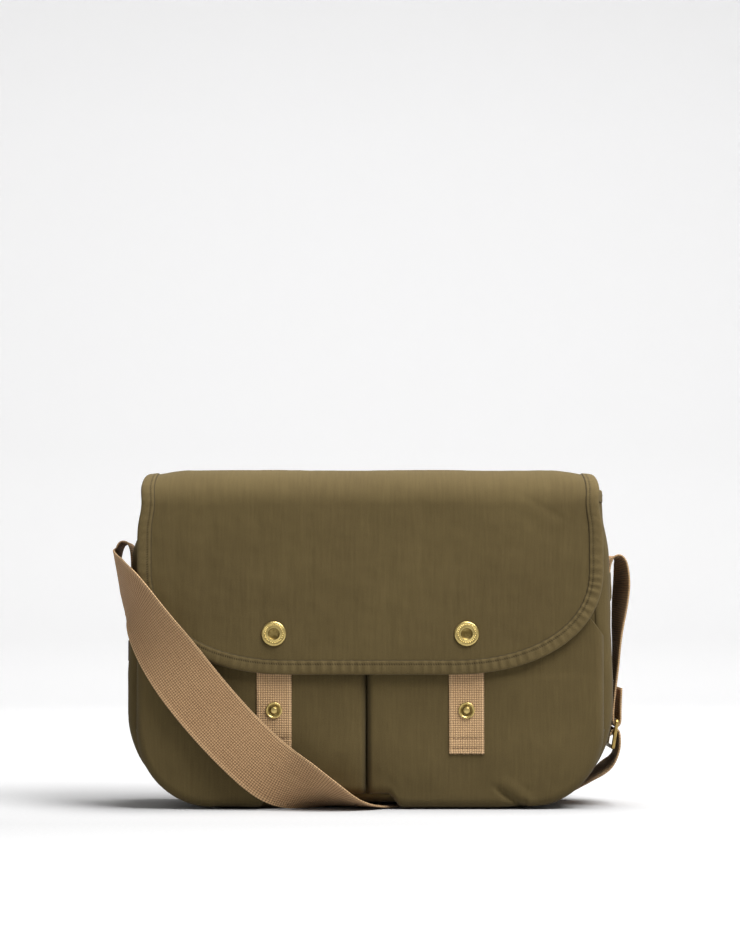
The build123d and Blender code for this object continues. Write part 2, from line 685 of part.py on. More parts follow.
TEETH_WIDTH = 5
TEETH_DEPTH = 1.6
STOP_HEIGHT = 3
teeth_length = zip_length - 2 * STOP_HEIGHT - 2
with BuildPart() as zip_teeth:
    with BuildSketch(outwards(TAPE_X, ZIP_Y, zip_mid_z)):
        Rectangle(TEETH_WIDTH - 1, teeth_length)
    extrude(amount=TEETH_DEPTH / 2)
    with BuildSketch(outwards(TAPE_X, ZIP_Y, zip_mid_z)):
        with GridLocations(1, TOOTH_PITCH, 1, int(teeth_length / TOOTH_PITCH)):
            Rectangle(TEETH_WIDTH, TOOTH_PITCH / 2)
    extrude(amount=TEETH_DEPTH)
zip_teeth.part.label = "zip_teeth"
export_step(zip_teeth.part, "parts/zip_teeth.step")

for name, z in [("top", ZIP_HIGH_Z - STOP_HEIGHT / 2), ("low", ZIP_LOW_Z + STOP_HEIGHT / 2)]:
    with BuildPart() as zip_stop:
        with BuildSketch(outwards(TAPE_X, ZIP_Y, z)):
            RectangleRounded(TEETH_WIDTH, STOP_HEIGHT, STOP_HEIGHT / 4)
        extrude(amount=TEETH_DEPTH)
        fillet(zip_stop.faces().sort_by(Axis.X)[0].edges(), TEETH_DEPTH / 4)
    zip_stop.part.label = f"zip_stop_{name}"
    export_step(zip_stop.part, f"parts/zip_stop_{name}.step")

slider_foot_x = TAPE_X - GAP
LUG = (2.0, 3.6)
LUG_DEPTH = 2.3
LUG_HOLE_R = 0.7
with BuildPart() as zip_slider:
    with BuildSketch(outwards(slider_foot_x, ZIP_Y, SLIDER_Z)):
        RectangleRounded(SLIDER_WIDTH, SLIDER_HEIGHT, 2)
    extrude(amount=slider_foot_x - SLIDER_X)
    fillet(zip_slider.faces().sort_by(Axis.X)[0].edges(), 0.5)
    with BuildSketch(outwards(slider_foot_x, ZIP_Y, SLIDER_Z)):
        Rectangle(TEETH_WIDTH + 2 * GAP, SLIDER_HEIGHT + 2)
    extrude(amount=TEETH_DEPTH, mode=Mode.SUBTRACT)
    with BuildSketch(outwards(SLIDER_X + GAP, ZIP_Y, PULL_PIVOT[1])):
        Rectangle(*LUG)
    extrude(amount=LUG_DEPTH + GAP)
    fillet(zip_slider.faces().sort_by(Axis.X)[0].edges().filter_by(Axis.Y), 1)
    with BuildSketch(Plane.XZ.offset(-ZIP_Y)):
        with Locations(PULL_PIVOT):
            Circle(LUG_HOLE_R)
    extrude(amount=LUG[0], both=True, mode=Mode.SUBTRACT)
zip_slider.part.label = "zip_slider"
export_step(zip_slider.part, "parts/zip_slider.step")

PULL_WINDOW = (2.8, 3.0)
pull_height = PULL_PIVOT[1] - PULL_LOW_Z
pull_back_x = PULL_PIVOT[0] + PULL_THICK / 2
with BuildPart() as zip_pull:
    with BuildSketch(outwards(pull_back_x, ZIP_Y, PULL_PIVOT[1] - pull_height / 2)):
        Rectangle(PULL_WIDTH, pull_height)
        window_z = pull_height / 2 - PULL_WINDOW[1] / 2
        with Locations((0, window_z)):
            Rectangle(*PULL_WINDOW, mode=Mode.SUBTRACT)
    extrude(amount=PULL_THICK)
    with BuildSketch(Plane.XZ.offset(-ZIP_Y)):
        with Locations(PULL_PIVOT):
            Circle(PULL_THICK / 2)
    extrude(amount=PULL_WIDTH / 2, both=True)
zip_pull.part.label = "zip_pull"
export_step(zip_pull.part, "parts/zip_pull.step")

LEATHER_WIDTH = 8
LEATHER_THICK = 2.7
leather_mid_z = (LEATHER_HIGH_Z + LEATHER_LOW_Z) / 2
with BuildPart() as zip_pull_leather:
    with Locations((PULL_PIVOT[0], ZIP_Y, leather_mid_z)):
        Box(LEATHER_THICK, LEATHER_WIDTH, LEATHER_HIGH_Z - LEATHER_LOW_Z)
    fillet(zip_pull_leather.edges(), 0.6)
    slot_low = PULL_LOW_Z - GAP
    with Locations((PULL_PIVOT[0], ZIP_Y, slot_low + pull_height / 2)):
        Box(PULL_THICK + GAP, PULL_WIDTH + GAP, pull_height, mode=Mode.SUBTRACT)
zip_pull_leather.part.label = "zip_pull_leather"
export_step(zip_pull_leather.part, "parts/zip_pull_leather.step")

print("webbing", WEBBING, "wide and", WEB_THICK, "thick")
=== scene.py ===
import math

import bpy
import numpy as np
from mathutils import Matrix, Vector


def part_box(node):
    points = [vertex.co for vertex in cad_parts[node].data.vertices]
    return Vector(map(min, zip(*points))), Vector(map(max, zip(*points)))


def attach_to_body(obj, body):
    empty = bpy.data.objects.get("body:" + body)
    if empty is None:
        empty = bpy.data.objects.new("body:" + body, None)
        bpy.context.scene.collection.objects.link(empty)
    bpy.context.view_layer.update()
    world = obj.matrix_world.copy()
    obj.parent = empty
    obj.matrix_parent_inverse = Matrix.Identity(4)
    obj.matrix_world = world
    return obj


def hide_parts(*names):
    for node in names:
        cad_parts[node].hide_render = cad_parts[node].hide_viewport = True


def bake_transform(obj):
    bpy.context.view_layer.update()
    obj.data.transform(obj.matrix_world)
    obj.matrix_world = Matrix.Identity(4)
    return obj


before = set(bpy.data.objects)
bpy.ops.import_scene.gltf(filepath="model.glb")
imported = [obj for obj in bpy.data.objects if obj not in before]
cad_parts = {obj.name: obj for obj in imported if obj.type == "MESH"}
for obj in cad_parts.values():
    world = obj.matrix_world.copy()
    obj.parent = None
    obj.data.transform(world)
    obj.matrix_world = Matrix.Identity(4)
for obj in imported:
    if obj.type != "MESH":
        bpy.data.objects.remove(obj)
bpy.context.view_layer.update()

MM = 0.001
SIDES = [(-1, "left"), (1, "right")]

# body
HALF_WIDTH = 198.5
MOUTH_HALF_WIDTH = 192.5
BELLY_Z = 110
CORNER_R = 80
MOUTH_Z = 258
FRONT_Y = -48
BACK_Y = 66
EDGE_R = 12
CLOTH = 1.6
PANEL_SPLIT_X = 146  # where the side panels meet the base
PANEL_SPLIT_GAP = 0.2

# pockets
POCKET_HALF = 190
POCKET_R = 63
POCKET_FACE_Y = -57.4
POCKET_EDGE_Y = -49.6
POCKET_Z = 1.2
POCKET_MOUTH_Z = 160
POCKET_SIDE_Z = 137
POCKET_FLAT_X = 172
POCKET_GAP_X = -3
POCKET_GAP = 0.9
POCKET_ROLL = 7

# flap
FLAP_HALF = 189
FLAP_TOP_Z = 276
FLAP_Y = -65.2
FLAP_LOW_Z = 109
FLAP_CORNER = (125, 85)
FLAP_CORNER_POWER = 2.2
FLAP_ROLL = 30
HEM_STITCH = 8.4

# snaps and tabs
SNAP_X = 78
SNAP_Z = 142
STUD_Z = 80
TAB_WIDTH = 28
TAB_THICK = 1.5
TAB_LOW_Z = 45.5
TAB_TOP_Z = 157
TAB_SEAMS = (4, 12)  # above the tab's lower end

# strap
WEBBING = 50
WEB_THICK = 1.8

# The long strap's route, from the bag's left side to the buckle, and at each
# point the way to its front edge.
LONG_ROUTE = [
    ((-197.0, 0, 176), (0, -1, 0)),
    ((-196.2, 0, 198), (0, -1, 0)),
    ((-198.4, 0, 216.5), (0, -1, 0.02)),
    ((-207.5, 0, 218), (0, -1, 0.01)),
    ((-211, -0.8, 205), (0, -0.99, 0.08)),
    ((-210.5, -7, 194), (0.02, -0.97, 0.24)),
    ((-208, -17.5, 187), (0.06, -0.93, 0.36)),
    ((-204.5, -31, 182.5), (0.12, -0.9, 0.42)),
    ((-199.5, -46.5, 177.5), (0.24, -0.87, 0.44)),
    ((-190.5, -61.5, 166.5), (0.44, -0.73, 0.52)),
    ((-177.5, -70.5, 144.5), (0.66, -0.54, 0.52)),
    ((-160.5, -72.5, 120), (0.74, -0.24, 0.62)),
    ((-143.8, -72, 97.5), (0.74, -0.08, 0.66)),
    ((-123.5, -71.5, 73.5), (0.71, -0.05, 0.7)),
    ((-103, -71, 52), (0.67, -0.05, 0.74)),
    ((-80, -70.5, 31), (0.62, -0.1, 0.78)),
    ((-60, -69.6, 21), (0.6, -0.42, 0.68)),
    ((-40, -64.3, 12.5), (0.62, -0.68, 0.38)),
    ((-22, -54.6, 4.2), (0.66, -0.75, 0.08)),
    ((-6, -38, 1.3), (0.74, -0.67, 0)),
    ((10, -5, 1.2), (0.9, -0.43, 0)),
    ((25, 40, 1.2), (0.93, -0.38, 0)),
    ((40, 84, 1.4), (0.92, -0.39, 0)),
    ((49, 107, 8.7), (0.86, -0.3, 0.28)),
    ((57, 126, 20.3), (0.6, -0.2, 0.72)),
    ((68, 142, 26), (0.2, -0.1, 0.97)),
    ((84, 148, 26.2), (0, 0, 1)),
    ((100, 141, 26.2), (-0.15, -0.05, 0.98)),
    ((110, 124, 21.8), (-0.5, -0.27, 0.75)),
    ((113.5, 105, 12.4), (-0.76, -0.45, 0.3)),
    ((120, 84, 3.5), (-0.78, -0.62, 0.02)),
    ((128, 65, 1.3), (-0.72, -0.69, 0)),
    ((146, 44, 1.3), (-0.68, -0.73, 0)),
    ((167, 24, 8.5), (-0.5, -0.84, -0.2)),
    ((186, 12, 25.5), (-0.25, -0.93, -0.27)),
    ((201, 5, 34.5), (-0.1, -0.97, -0.2)),
    ((205.6, 2, 48), (0, -0.99, -0.1)),
    ((205.5, 1, 59.5), (0, -1, 0)),
    ((203.6, 1, 63.3), (0, -1, 0)),
    ((198.6, 1, 63.2), (0, -1, 0)),
    ((197.6, 1, 58), (0, -1, 0)),
]

SHORT_ROUTE = [
    ((197.3, 0, 171), (0, -1, 0)),
    ((196.6, 0, 191), (0, -1, 0)),
    ((198.3, 0, 205.5), (0.06, -1, 0)),
    ((208.5, -0.5, 205.5), (0.1, -0.99, 0)),
    ((210, -1, 186), (0.18, -0.98, -0.04)),
    ((208.3, -1, 168), (0.17, -0.98, -0.02)),
    ((206.3, 0, 150), (0.1, -0.99, 0)),
    ((205.2, 0, 132), (0.03, -1, 0)),
    ((204.3, 1, 113), (0, -1, 0)),
    ((202, 1, 96), (0, -1, 0)),
    ((200.2, 1, 80), (0, -1, 0)),
    ((199.7, 1, 68), (0, -1, 0)),
    ((202.9, 1, 64.9), (0, -1, 0)),
    ((206.2, 1, 68), (0, -1, 0)),
    ((206, 1, 80), (0, -1, 0)),
    ((207, 1, 97), (0, -1, 0)),
]


# --- small helpers

def smooth(low, high, value):
    """0 below low, 1 above high and a soft step between them."""
    t = np.clip((value - low) / (high - low), 0, 1)
    return t * t * (3 - 2 * t)


def bump(centre, width, value):
    """A soft hump of height 1 about a centre."""
    return np.exp(-(((value - centre) / width) ** 2))


def ripple(a, b, size, seed):
    """A smooth uneven field of about -1 to 1, with hills of a given size."""
    rng = np.random.default_rng(seed)
    total = np.zeros(np.broadcast(a, b).shape)
    for _ in range(9):
        angle = rng.uniform(0, 2 * math.pi)
        pace = rng.uniform(0.6, 1.5) * math.pi / size
        phase = rng.uniform(0, 2 * math.pi)
        total += np.sin(pace * (a * math.cos(angle) + b * math.sin(angle)) + phase)
    return total / 4.5


def unit(v):
    """Vectors scaled to length 1."""
    return v / np.maximum(np.linalg.norm(v, axis=-1, keepdims=True), 1e-9)


def layers(x, y, z):
    """A grid of points from its coordinates, each spread over the whole grid."""
    return np.stack(np.broadcast_arrays(x, y, z), axis=-1)


def run_along(line):
    """The distance along a line at each of its points."""
    return np.concatenate([[0], np.cumsum(np.linalg.norm(np.diff(line, axis=0), axis=1))])


def at(distance, run, values):
    """The values at a distance, or at several, from those at each point of a line."""
    return np.stack([np.interp(distance, run, column) for column in values.T], axis=-1)


def mirrored(line):
    """A line from the middle to the right with its mirror image before it."""
    return np.concatenate([line[::-1] * [-1, 1], line[1:]])


def evenly(line, steps):
    """A flat line at even steps, the ways out to its right, and the distance along it."""
    run = run_along(line)
    even = np.linspace(0, run[-1], steps)
    line = at(even, run, line)
    along = unit(np.gradient(line, axis=0))
    return line, np.stack([along[:, 1], -along[:, 0]], axis=1), even


def circle(sides):
    """The (cosine, sine) pairs of even turns round a circle."""
    turns = [2 * math.pi * k / sides for k in range(sides)]
    return [(math.cos(turn), math.sin(turn)) for turn in turns]


def ring_faces(rings, sides, base=0):
    """The faces of a closed tube of rings of points, with flat ends."""
    faces = []
    for i in range(rings - 1):
        for k in range(sides):
            a, b = base + i * sides + k, base + i * sides + (k + 1) % sides
            faces.append((a, b, b + sides, a + sides))
    last = base + (rings - 1) * sides
    faces.append(tuple(base + k for k in reversed(range(sides))))
    faces.append(tuple(last + k for k in range(sides)))
    return faces


def linked(name, data):
    """A new object in the scene."""
    obj = bpy.data.objects.new(name, data)
    bpy.context.scene.collection.objects.link(obj)
    return obj


def finish_mesh(name, points, faces, uvs=None, attributes=None):
    """A smooth-shaded object from points in millimetres."""
    mesh = bpy.data.meshes.new(name)
    mesh.from_pydata((np.asarray(points) * MM).tolist(), [], faces)
    mesh.update()
    mesh.polygons.foreach_set("use_smooth", [True] * len(mesh.polygons))
    if uvs is not None:
        layer = mesh.uv_layers.new(name="UVMap")
        index = np.empty(len(mesh.loops), int)
        mesh.loops.foreach_get("vertex_index", index)
        layer.data.foreach_set("uv", (np.asarray(uvs)[index] * MM).ravel())
    for key, values in (attributes or {}).items():
        attribute = mesh.attributes.new(key, "FLOAT", "POINT")
        attribute.data.foreach_set("value", np.asarray(values, np.float32))
    return linked(name, mesh)


def grid_normals(grid):
    """The outward normal at each point of a grid."""
    across = np.gradient(grid, axis=1)
    down = np.gradient(grid, axis=0)
    return unit(np.cross(down, across))


def grid_uv(grid):
    """Distances along and down a grid, measured on the cloth."""
    across = np.linalg.norm(np.diff(grid, axis=1), axis=2)
    down = np.linalg.norm(np.diff(grid, axis=0), axis=2)
    rows, columns = grid.shape[:2]
    u = np.zeros((rows, columns))
    v = np.zeros((rows, columns))
    u[:, 1:] = np.cumsum(np.maximum(across, np.median(across, axis=0)), axis=1)
    v[1:, :] = np.cumsum(np.maximum(down, np.median(down, axis=1)[:, None]), axis=0)
    u -= u[:, columns // 2 : columns // 2 + 1]
    return np.stack([u, v], axis=2)


def cloth(name, grid, thick, wear_and_shading=None):
    """A closed sheet with rounded edges, whose outer face is a grid of points.

    The grid's rows run down and its columns run to the right, seen from outside."""
    grid = np.asarray(grid, float)
    rows, columns = grid.shape[:2]
    inner = grid - grid_normals(grid) * thick
    side = np.zeros_like(grid)
    side[0] += unit(grid[0] - grid[1])
    side[-1] += unit(grid[-1] - grid[-2])
    side[:, 0] += unit(grid[:, 0] - grid[:, 1])
    side[:, -1] += unit(grid[:, -1] - grid[:, -2])
    middle = (grid + inner) / 2 + unit(side) * thick * 0.45
    count = rows * columns
    top, right = np.arange(columns), np.arange(1, rows) * columns + columns - 1
    bottom = (rows - 1) * columns + np.arange(columns - 2, -1, -1)
    left = np.arange(rows - 2, 0, -1) * columns
    loop = np.concatenate([top, right, bottom, left])
    points = np.concatenate([grid.reshape(-1, 3), inner.reshape(-1, 3), middle.reshape(-1, 3)[loop]])
    a = (np.arange(rows - 1)[:, None] * columns + np.arange(columns - 1)[None, :]).ravel()
    outer_faces = np.stack([a, a + columns, a + columns + 1, a + 1], axis=1)
    inner_faces = outer_faces[:, ::-1] + count
    ring = 2 * count + np.arange(len(loop))
    after = np.roll(np.arange(len(loop)), -1)
    rim_out = np.stack([loop, loop[after], ring[after], ring], axis=1)
    rim_in = np.stack([ring, ring[after], loop[after] + count, loop + count], axis=1)
    faces = np.concatenate([outer_faces, inner_faces, rim_out, rim_in])
    uv = grid_uv(grid).reshape(-1, 2)
    uvs = np.concatenate([uv, uv, uv[loop]])
    wear_and_shading = np.zeros(count) if wear_and_shading is None else np.asarray(wear_and_shading, float).ravel()
    attributes = {"wear_and_shading": np.concatenate([wear_and_shading, wear_and_shading, wear_and_shading[loop] + 0.08])}
    return finish_mesh(name, points, faces.tolist(), uvs, attributes)


STITCH_PITCH = 3.6
STITCH_LENGTH = 2.5
THREAD_R = 0.32
THREAD_SIDES = 6
STITCH_SINK = 0.1


def stitches(name, line, normals):
    """A row of thread stitches that follows a line on the cloth."""
    run = run_along(line)
    starts = np.arange(STITCH_PITCH / 2, run[-1] - STITCH_PITCH / 2, STITCH_PITCH)
    half = [(0.15, 1, 0.3), (0.4, 0.85, -0.2), (0.5, 0.35, -0.9)]
    shape = [(-place, size, lift) for place, size, lift in reversed(half)] + half
    points, faces = [], []
    for start in starts:
        centre = at(start, run, line)
        normal = unit(at(start, run, normals))
        along = unit(at(start + 0.5, run, line) - centre)
        sideways = np.cross(normal, along)
        faces += ring_faces(len(shape), THREAD_SIDES, len(points))
        for place, size, lift in shape:
            middle = centre + along * place * STITCH_LENGTH + normal * (lift * THREAD_R - STITCH_SINK)
            for c, s in circle(THREAD_SIDES):
                points.append(middle + (sideways * c + normal * s) * THREAD_R * size)
    return finish_mesh(name, points, faces)


def turned(name, profile, place, sides=48, dull_within=0.0, bright_within=0.0):
    """A round piece whose axis points to the front, from (radius, depth) pairs.

    Its metal is dull between the two radii."""
    points, wear_and_shading = [], []
    for r, depth in profile:
        wear_and_shading += [-0.75 if bright_within < r < dull_within else 0.1] * sides
        points += [(place[0] + r * c, place[1] - depth, place[2] + r * s) for c, s in circle(sides)]
    return finish_mesh(name, points, ring_faces(len(profile), sides), None, {"wear_and_shading": wear_and_shading})


# --- camera

def set_camera():
    """A long lens in front of the bag, a little above its middle."""
    data = bpy.data.cameras.new("camera")
    data.sensor_width = 36
    data.lens = 102.4
    camera = linked("camera", data)
    camera.location = (-0.0002, -2.2, 0.161)
    camera.rotation_euler = (math.radians(93.2), 0, 0)
    bpy.context.scene.camera = camera


set_camera()

# --- strap

def route_line(points):
    """The smooth line of a route's points, in millimetres."""
    curve = bpy.data.curves.new("route", "CURVE")
    curve.dimensions = "3D"
    curve.resolution_u = 12
    spline = curve.splines.new("NURBS")
    spline.points.add(len(points) - 1)
    for point, place in zip(spline.points, points):
        point.co = (place[0] * MM, place[1] * MM, place[2] * MM, 1)
    spline.order_u = 3
    spline.use_endpoint_u = True
    obj = linked("route", curve)
    graph = bpy.context.evaluated_depsgraph_get()
    mesh = bpy.data.meshes.new_from_object(obj.evaluated_get(graph))
    line = np.array([v.co[:] for v in mesh.vertices]) / MM
    bpy.data.objects.remove(obj)
    bpy.data.meshes.remove(mesh)
    return line


def webbing(name, route):
    """Flat woven webbing with rolled selvedges, and the line of its middle."""
    centre = route_line([place for place, _ in route])
    edge = route_line([np.array(p) + unit(np.array(w, float)) * WEBBING / 2 for p, w in route])
    along = unit(np.gradient(centre, axis=0))
    way = unit(edge - centre)
    way = unit(way - along * (way * along).sum(axis=1, keepdims=True))
    out = np.cross(along, way)
    run = run_along(centre)
    right = [(0.25, 0.42), (0.5, 0.42), (0.8, 0.4), (0.9, 0.36), (0.93, 0.44), (0.965, 0.46), (0.99, 0.35)]
    face = [(-s, h) for s, h in reversed(right)] + [(0, 0.42)] + right
    section = face + [(1.0, 0)] + [(s, -h) for s, h in reversed(face)] + [(-1.0, 0)]
    points, uvs, wear_and_shading = [], [], []
    for i in range(len(centre)):
        for s, h in section:
            points.append(centre[i] + way[i] * s * WEBBING / 2 + out[i] * h * WEB_THICK)
            uvs.append((s * WEBBING / 2, run[i]))
            wear_and_shading.append(max(0, abs(s) - 0.86) * 7)
    faces = ring_faces(len(centre), len(section))
    return finish_mesh(name, points, faces, uvs, {"wear_and_shading": wear_and_shading}), centre


strap_long, long_line = webbing("strap_webbing_long", LONG_ROUTE)
strap_short, short_line = webbing("strap_webbing_short", SHORT_ROUTE)

# --- materials

class Nodes:
    """A material's nodes, made one at a time."""

    def __init__(self, name):
        self.material = bpy.data.materials.new(name)
        self.material.use_nodes = True
        self.tree = self.material.node_tree
        self.shader = self.tree.nodes["Principled BSDF"]

    def node(self, kind, inputs=None, **settings):
        made = self.tree.nodes.new(kind)
        for key, value in settings.items():
            setattr(made, key, value)
        for key, value in (inputs or {}).items():
            self.set(made.inputs[key], value)
        return made

    def set(self, socket, value):
        if isinstance(value, bpy.types.NodeSocket):
            self.tree.links.new(value, socket)
        else:
            socket.default_value = value

    def math(self, operation, a, b=0.0, clamp=False):
        made = self.node("ShaderNodeMath", {0: a, 1: b}, operation=operation, use_clamp=clamp)
        return made.outputs[0]

    def mix(self, amount, a, b, blend="MIX"):
        inputs = {0: amount, 6: a, 7: b}
        return self.node("ShaderNodeMix", inputs, data_type="RGBA", blend_type=blend).outputs[2]

    def noise(self, where, scale, detail=4.0, rough=0.55):
        inputs = {"Vector": where, "Scale": scale, "Detail": detail, "Roughness": rough}
        return self.node("ShaderNodeTexNoise", inputs).outputs["Fac"]

    def range(self, value, low, high, to_low=0.0, to_high=1.0):
        inputs = {"Value": value, "From Min": low, "From Max": high, "To Min": to_low, "To Max": to_high}
        return self.node("ShaderNodeMapRange", inputs).outputs[0]

    def finish(self, colour, roughness, height=None, distance=0.0003, strength=0.5, **others):
        self.set(self.shader.inputs["Base Color"], colour)
        self.set(self.shader.inputs["Roughness"], roughness)
        for key, value in others.items():
            self.set(self.shader.inputs[key.replace("_", " ")], value)
        if height is not None:
            inputs = {"Height": height, "Distance": distance, "Strength": strength}
            bump_node = self.node("ShaderNodeBump", inputs)
            self.set(self.shader.inputs["Normal"], bump_node.outputs[0])
        return self.material


def linear(code):
    """The scene colour of a plain hex colour."""
    parts = [int(code[i : i + 2], 16) / 255 for i in (0, 2, 4)]
    return (*[((c + 0.055) / 1.055) ** 2.4 if c > 0.04 else c / 12.92 for c in parts], 1)


def woven(name, dark, mid, light, pitch, depth, cells=0.0):
    """A plain weave that follows the cloth's own length and width.

    cells paints shade into the gaps between yarns and a little light on their crowns, as on coarse webbing."""
    n = Nodes(name)
    place = n.node("ShaderNodeUVMap", uv_map="UVMap").outputs[0]
    split = n.node("ShaderNodeSeparateXYZ", {"Vector": place})
    slub = n.noise(place, 500.0, 2.0)
    drift = n.math("MULTIPLY", n.math("SUBTRACT", slub, 0.5), 0.7)
    turns = math.pi / pitch
    yarns = 1.0
    for way in split.outputs[:2]:
        wave = n.math("SINE", n.math("ADD", n.math("MULTIPLY", way, turns), drift))
        yarns = n.math("MULTIPLY", yarns, n.math("POWER", n.math("ABSOLUTE", wave), 0.6))
    height = n.math("ADD", yarns, n.math("MULTIPLY", slub, 0.6))
    patches = n.range(n.noise(place, 9.0, 3.0), 0.3, 0.7)
    long_way = n.node("ShaderNodeMapping", {"Vector": place, "Scale": (520.0, 34.0, 1.0)}).outputs[0]
    streaks = n.range(n.noise(long_way, 1.0, 3.0), 0.3, 0.72)
    fine = n.range(n.noise(place, 1500.0, 2.0), 0.3, 0.7)
    colour = n.mix(patches, linear(dark), linear(mid))
    colour = n.mix(n.math("MULTIPLY", streaks, 0.16), colour, linear(light))
    colour = n.mix(n.math("MULTIPLY", fine, 0.3), colour, linear(light))
    # painted shade in the gaps between yarns and a little painted light on their crowns
    shade = n.range(yarns, 0.0, 0.75, 1.0 - cells, 1.0 + cells * 0.25)
    wear_and_shading = n.node("ShaderNodeAttribute", attribute_name="wear_and_shading").outputs["Fac"]
    # above zero the attribute lightens the colour: rubbed wear on edges, and on the flap hem's pucker
    # ridges rubbed wear with painted highlight
    rub = n.math("MULTIPLY", wear_and_shading, n.range(fine, 0.0, 1.0, 0.5, 0.8), clamp=True)
    colour = n.mix(rub, colour, linear(light))
    # below zero the attribute darkens the colour: painted shade in seam grooves, stitch rows, stitch holes,
    # the gap between the pockets and pucker hollows; it also darkens the pockets towards their bottom edge
    shade = n.math("MULTIPLY", shade, n.range(wear_and_shading, -1.0, 0.0, 0.3, 1.0))
    grey = n.node("ShaderNodeCombineColor", {0: shade, 1: shade, 2: shade}).outputs[0]
    colour = n.mix(1.0, colour, grey, "MULTIPLY")
    others = {"Sheen_Weight": 0.04, "Sheen_Roughness": 0.5, "Specular_IOR_Level": 0.15}
    return n.finish(colour, n.range(fine, 0, 1, 0.84, 0.94), height, depth, 0.7, **others)


def metal(name, dark, light, rough):
    """Rolled metal with a little tarnish, darker where its vertex attribute is below zero."""
    n = Nodes(name)
    place = n.node("ShaderNodeTexCoord").outputs["Object"]
    wear_and_shading = n.node("ShaderNodeAttribute", attribute_name="wear_and_shading").outputs["Fac"]
    clean = n.range(n.noise(place, 190.0, 4.0, 0.6), 0.25, 0.6, 0.45, 1.0)
    clean = n.math("ADD", clean, wear_and_shading, clamp=True)
    grain = n.noise(place, 1200.0, 3.0)
    colour = n.mix(clean, linear(dark), linear(light))
    shine = n.range(clean, 0, 1, rough + 0.16, rough)
    return n.finish(colour, shine, grain, 0.00004, 0.4, Metallic=1.0)


def leather(name, dark, light):
    """Rubbed leather with a fine grain."""
    n = Nodes(name)
    place = n.node("ShaderNodeTexCoord").outputs["Object"]
    cells = n.node("ShaderNodeTexVoronoi", {"Vector": place, "Scale": 1400.0}).outputs["Distance"]
    rubbed = n.range(n.noise(place, 180.0, 4.0), 0.35, 0.7)
    return n.finish(n.mix(rubbed, linear(dark), linear(light)), 0.55, cells, 0.0002, 0.6)


def thread(name, dark, light):
    """Twisted sewing thread."""
    n = Nodes(name)
    place = n.node("ShaderNodeTexCoord").outputs["Object"]
    twist = n.noise(place, 1500.0, 2.0)
    return n.finish(n.mix(twist, linear(dark), linear(light)), 0.75, twist, 0.0001, 0.5)


def backdrop(name):
    """Matt white paper, painted darker near the bag to even out the lamps' pool of light, and glowing more
    further back as painted light.
    """
    n = Nodes(name)
    place = n.node("ShaderNodeTexCoord").outputs["Object"]
    fibres = n.noise(place, 300.0, 2.0)
    depth = n.node("ShaderNodeSeparateXYZ", {"Vector": place}).outputs[1]
    away = n.math("ABSOLUTE", n.math("ADD", depth, 0.2))
    # painted shade: the paper is darker near the bag, evening out the lamps' pool of light on the floor
    paper_with_shade = n.mix(n.range(away, 0.0, 2.2), (0.36, 0.36, 0.363, 1), (0.88, 0.88, 0.89, 1))
    # painted light: the paper glows, more the further back it lies
    glow = {"Emission_Strength": n.range(depth, 0.2, 2.6, 0.0, 0.23)}
    n.shader.inputs["Emission Color"].default_value = (1, 1, 1, 1)
    paper_with_shade = n.mix(n.math("MULTIPLY", fibres, 0.1), paper_with_shade, (1, 1, 1, 1))
    return n.finish(paper_with_shade, 0.9, fibres, 0.0001, 0.1, **glow)


materials = {
    "canvas": woven("canvas", "443820", "4d4126", "72633f", 0.0009, 0.0001, 0.12),
    "canvas_trim": woven("canvas_trim", "473b22", "514429", "7f6f4a", 0.0009, 0.0001, 0.12),
    "lining_cloth": woven("lining_cloth", "40382c", "4c4438", "645b4d", 0.0008, 0.00008, 0.1),
    "webbing": woven("webbing", "a17f59", "b08f69", "d3b48d", 0.0019, 0.0005, 0.7),
    "strap_webbing": woven("strap_webbing", "916f4e", "a07f5c", "c7a57c", 0.0019, 0.0005, 0.7),
    "snap_brass": metal("snap_brass", "6b5930", "d2bb78", 0.3),
    "buckle_brass": metal("buckle_brass", "5e4c2b", "b89c5c", 0.32),
    "spring_steel": metal("spring_steel", "6f6f6e", "a9a9a8", 0.3),
    "zip_metal": metal("zip_metal", "4d3d22", "a3844a", 0.36),
    "zip_cloth": woven("zip_cloth", "3f3522", "4b402a", "5e523a", 0.0008, 0.0001, 0.1),
    "dark_leather": leather("dark_leather", "2a1d14", "49342a"),
    "thread": thread("thread", "4d4029", "78683f"),
    "tab_thread": thread("tab_thread", "5f452f", "80603f"),
    "backdrop": backdrop("backdrop"),
}


def attach(obj, slot, *nodes, material=None, body="bag_body", blend=None):
    """Gives a piece its material, parents it to its body unless it has a blend, when its transform is baked
    in place instead, and hides the nodes it stands for.

    The material is the slot's own unless another one is named."""
    obj.data.materials.append(materials[material or slot])
    if blend:
        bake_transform(obj)
    else:
        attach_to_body(obj, body)
    if nodes:
        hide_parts(*nodes)


def sew(name, line, normals, material="thread", blend=None):
    """A row of stitches as a piece."""
    attach(stitches(name, line, normals), "canvas_trim", material=material, blend=blend)


# --- body

SIDE_LEAN = (HALF_WIDTH - MOUTH_HALF_WIDTH) / (MOUTH_Z - BELLY_Z)


def half_width(z, inset):
    """Half the body's width at a height, on the outline moved in by inset."""
    lean = HALF_WIDTH - np.maximum(z - BELLY_Z, 0) * SIDE_LEAN - inset
    reach = CORNER_R - inset
    fall = np.clip(CORNER_R - z, 0, reach)
    corner = HALF_WIDTH - CORNER_R + np.sqrt(reach**2 - fall**2)
    return np.where(z < CORNER_R, corner, lean)


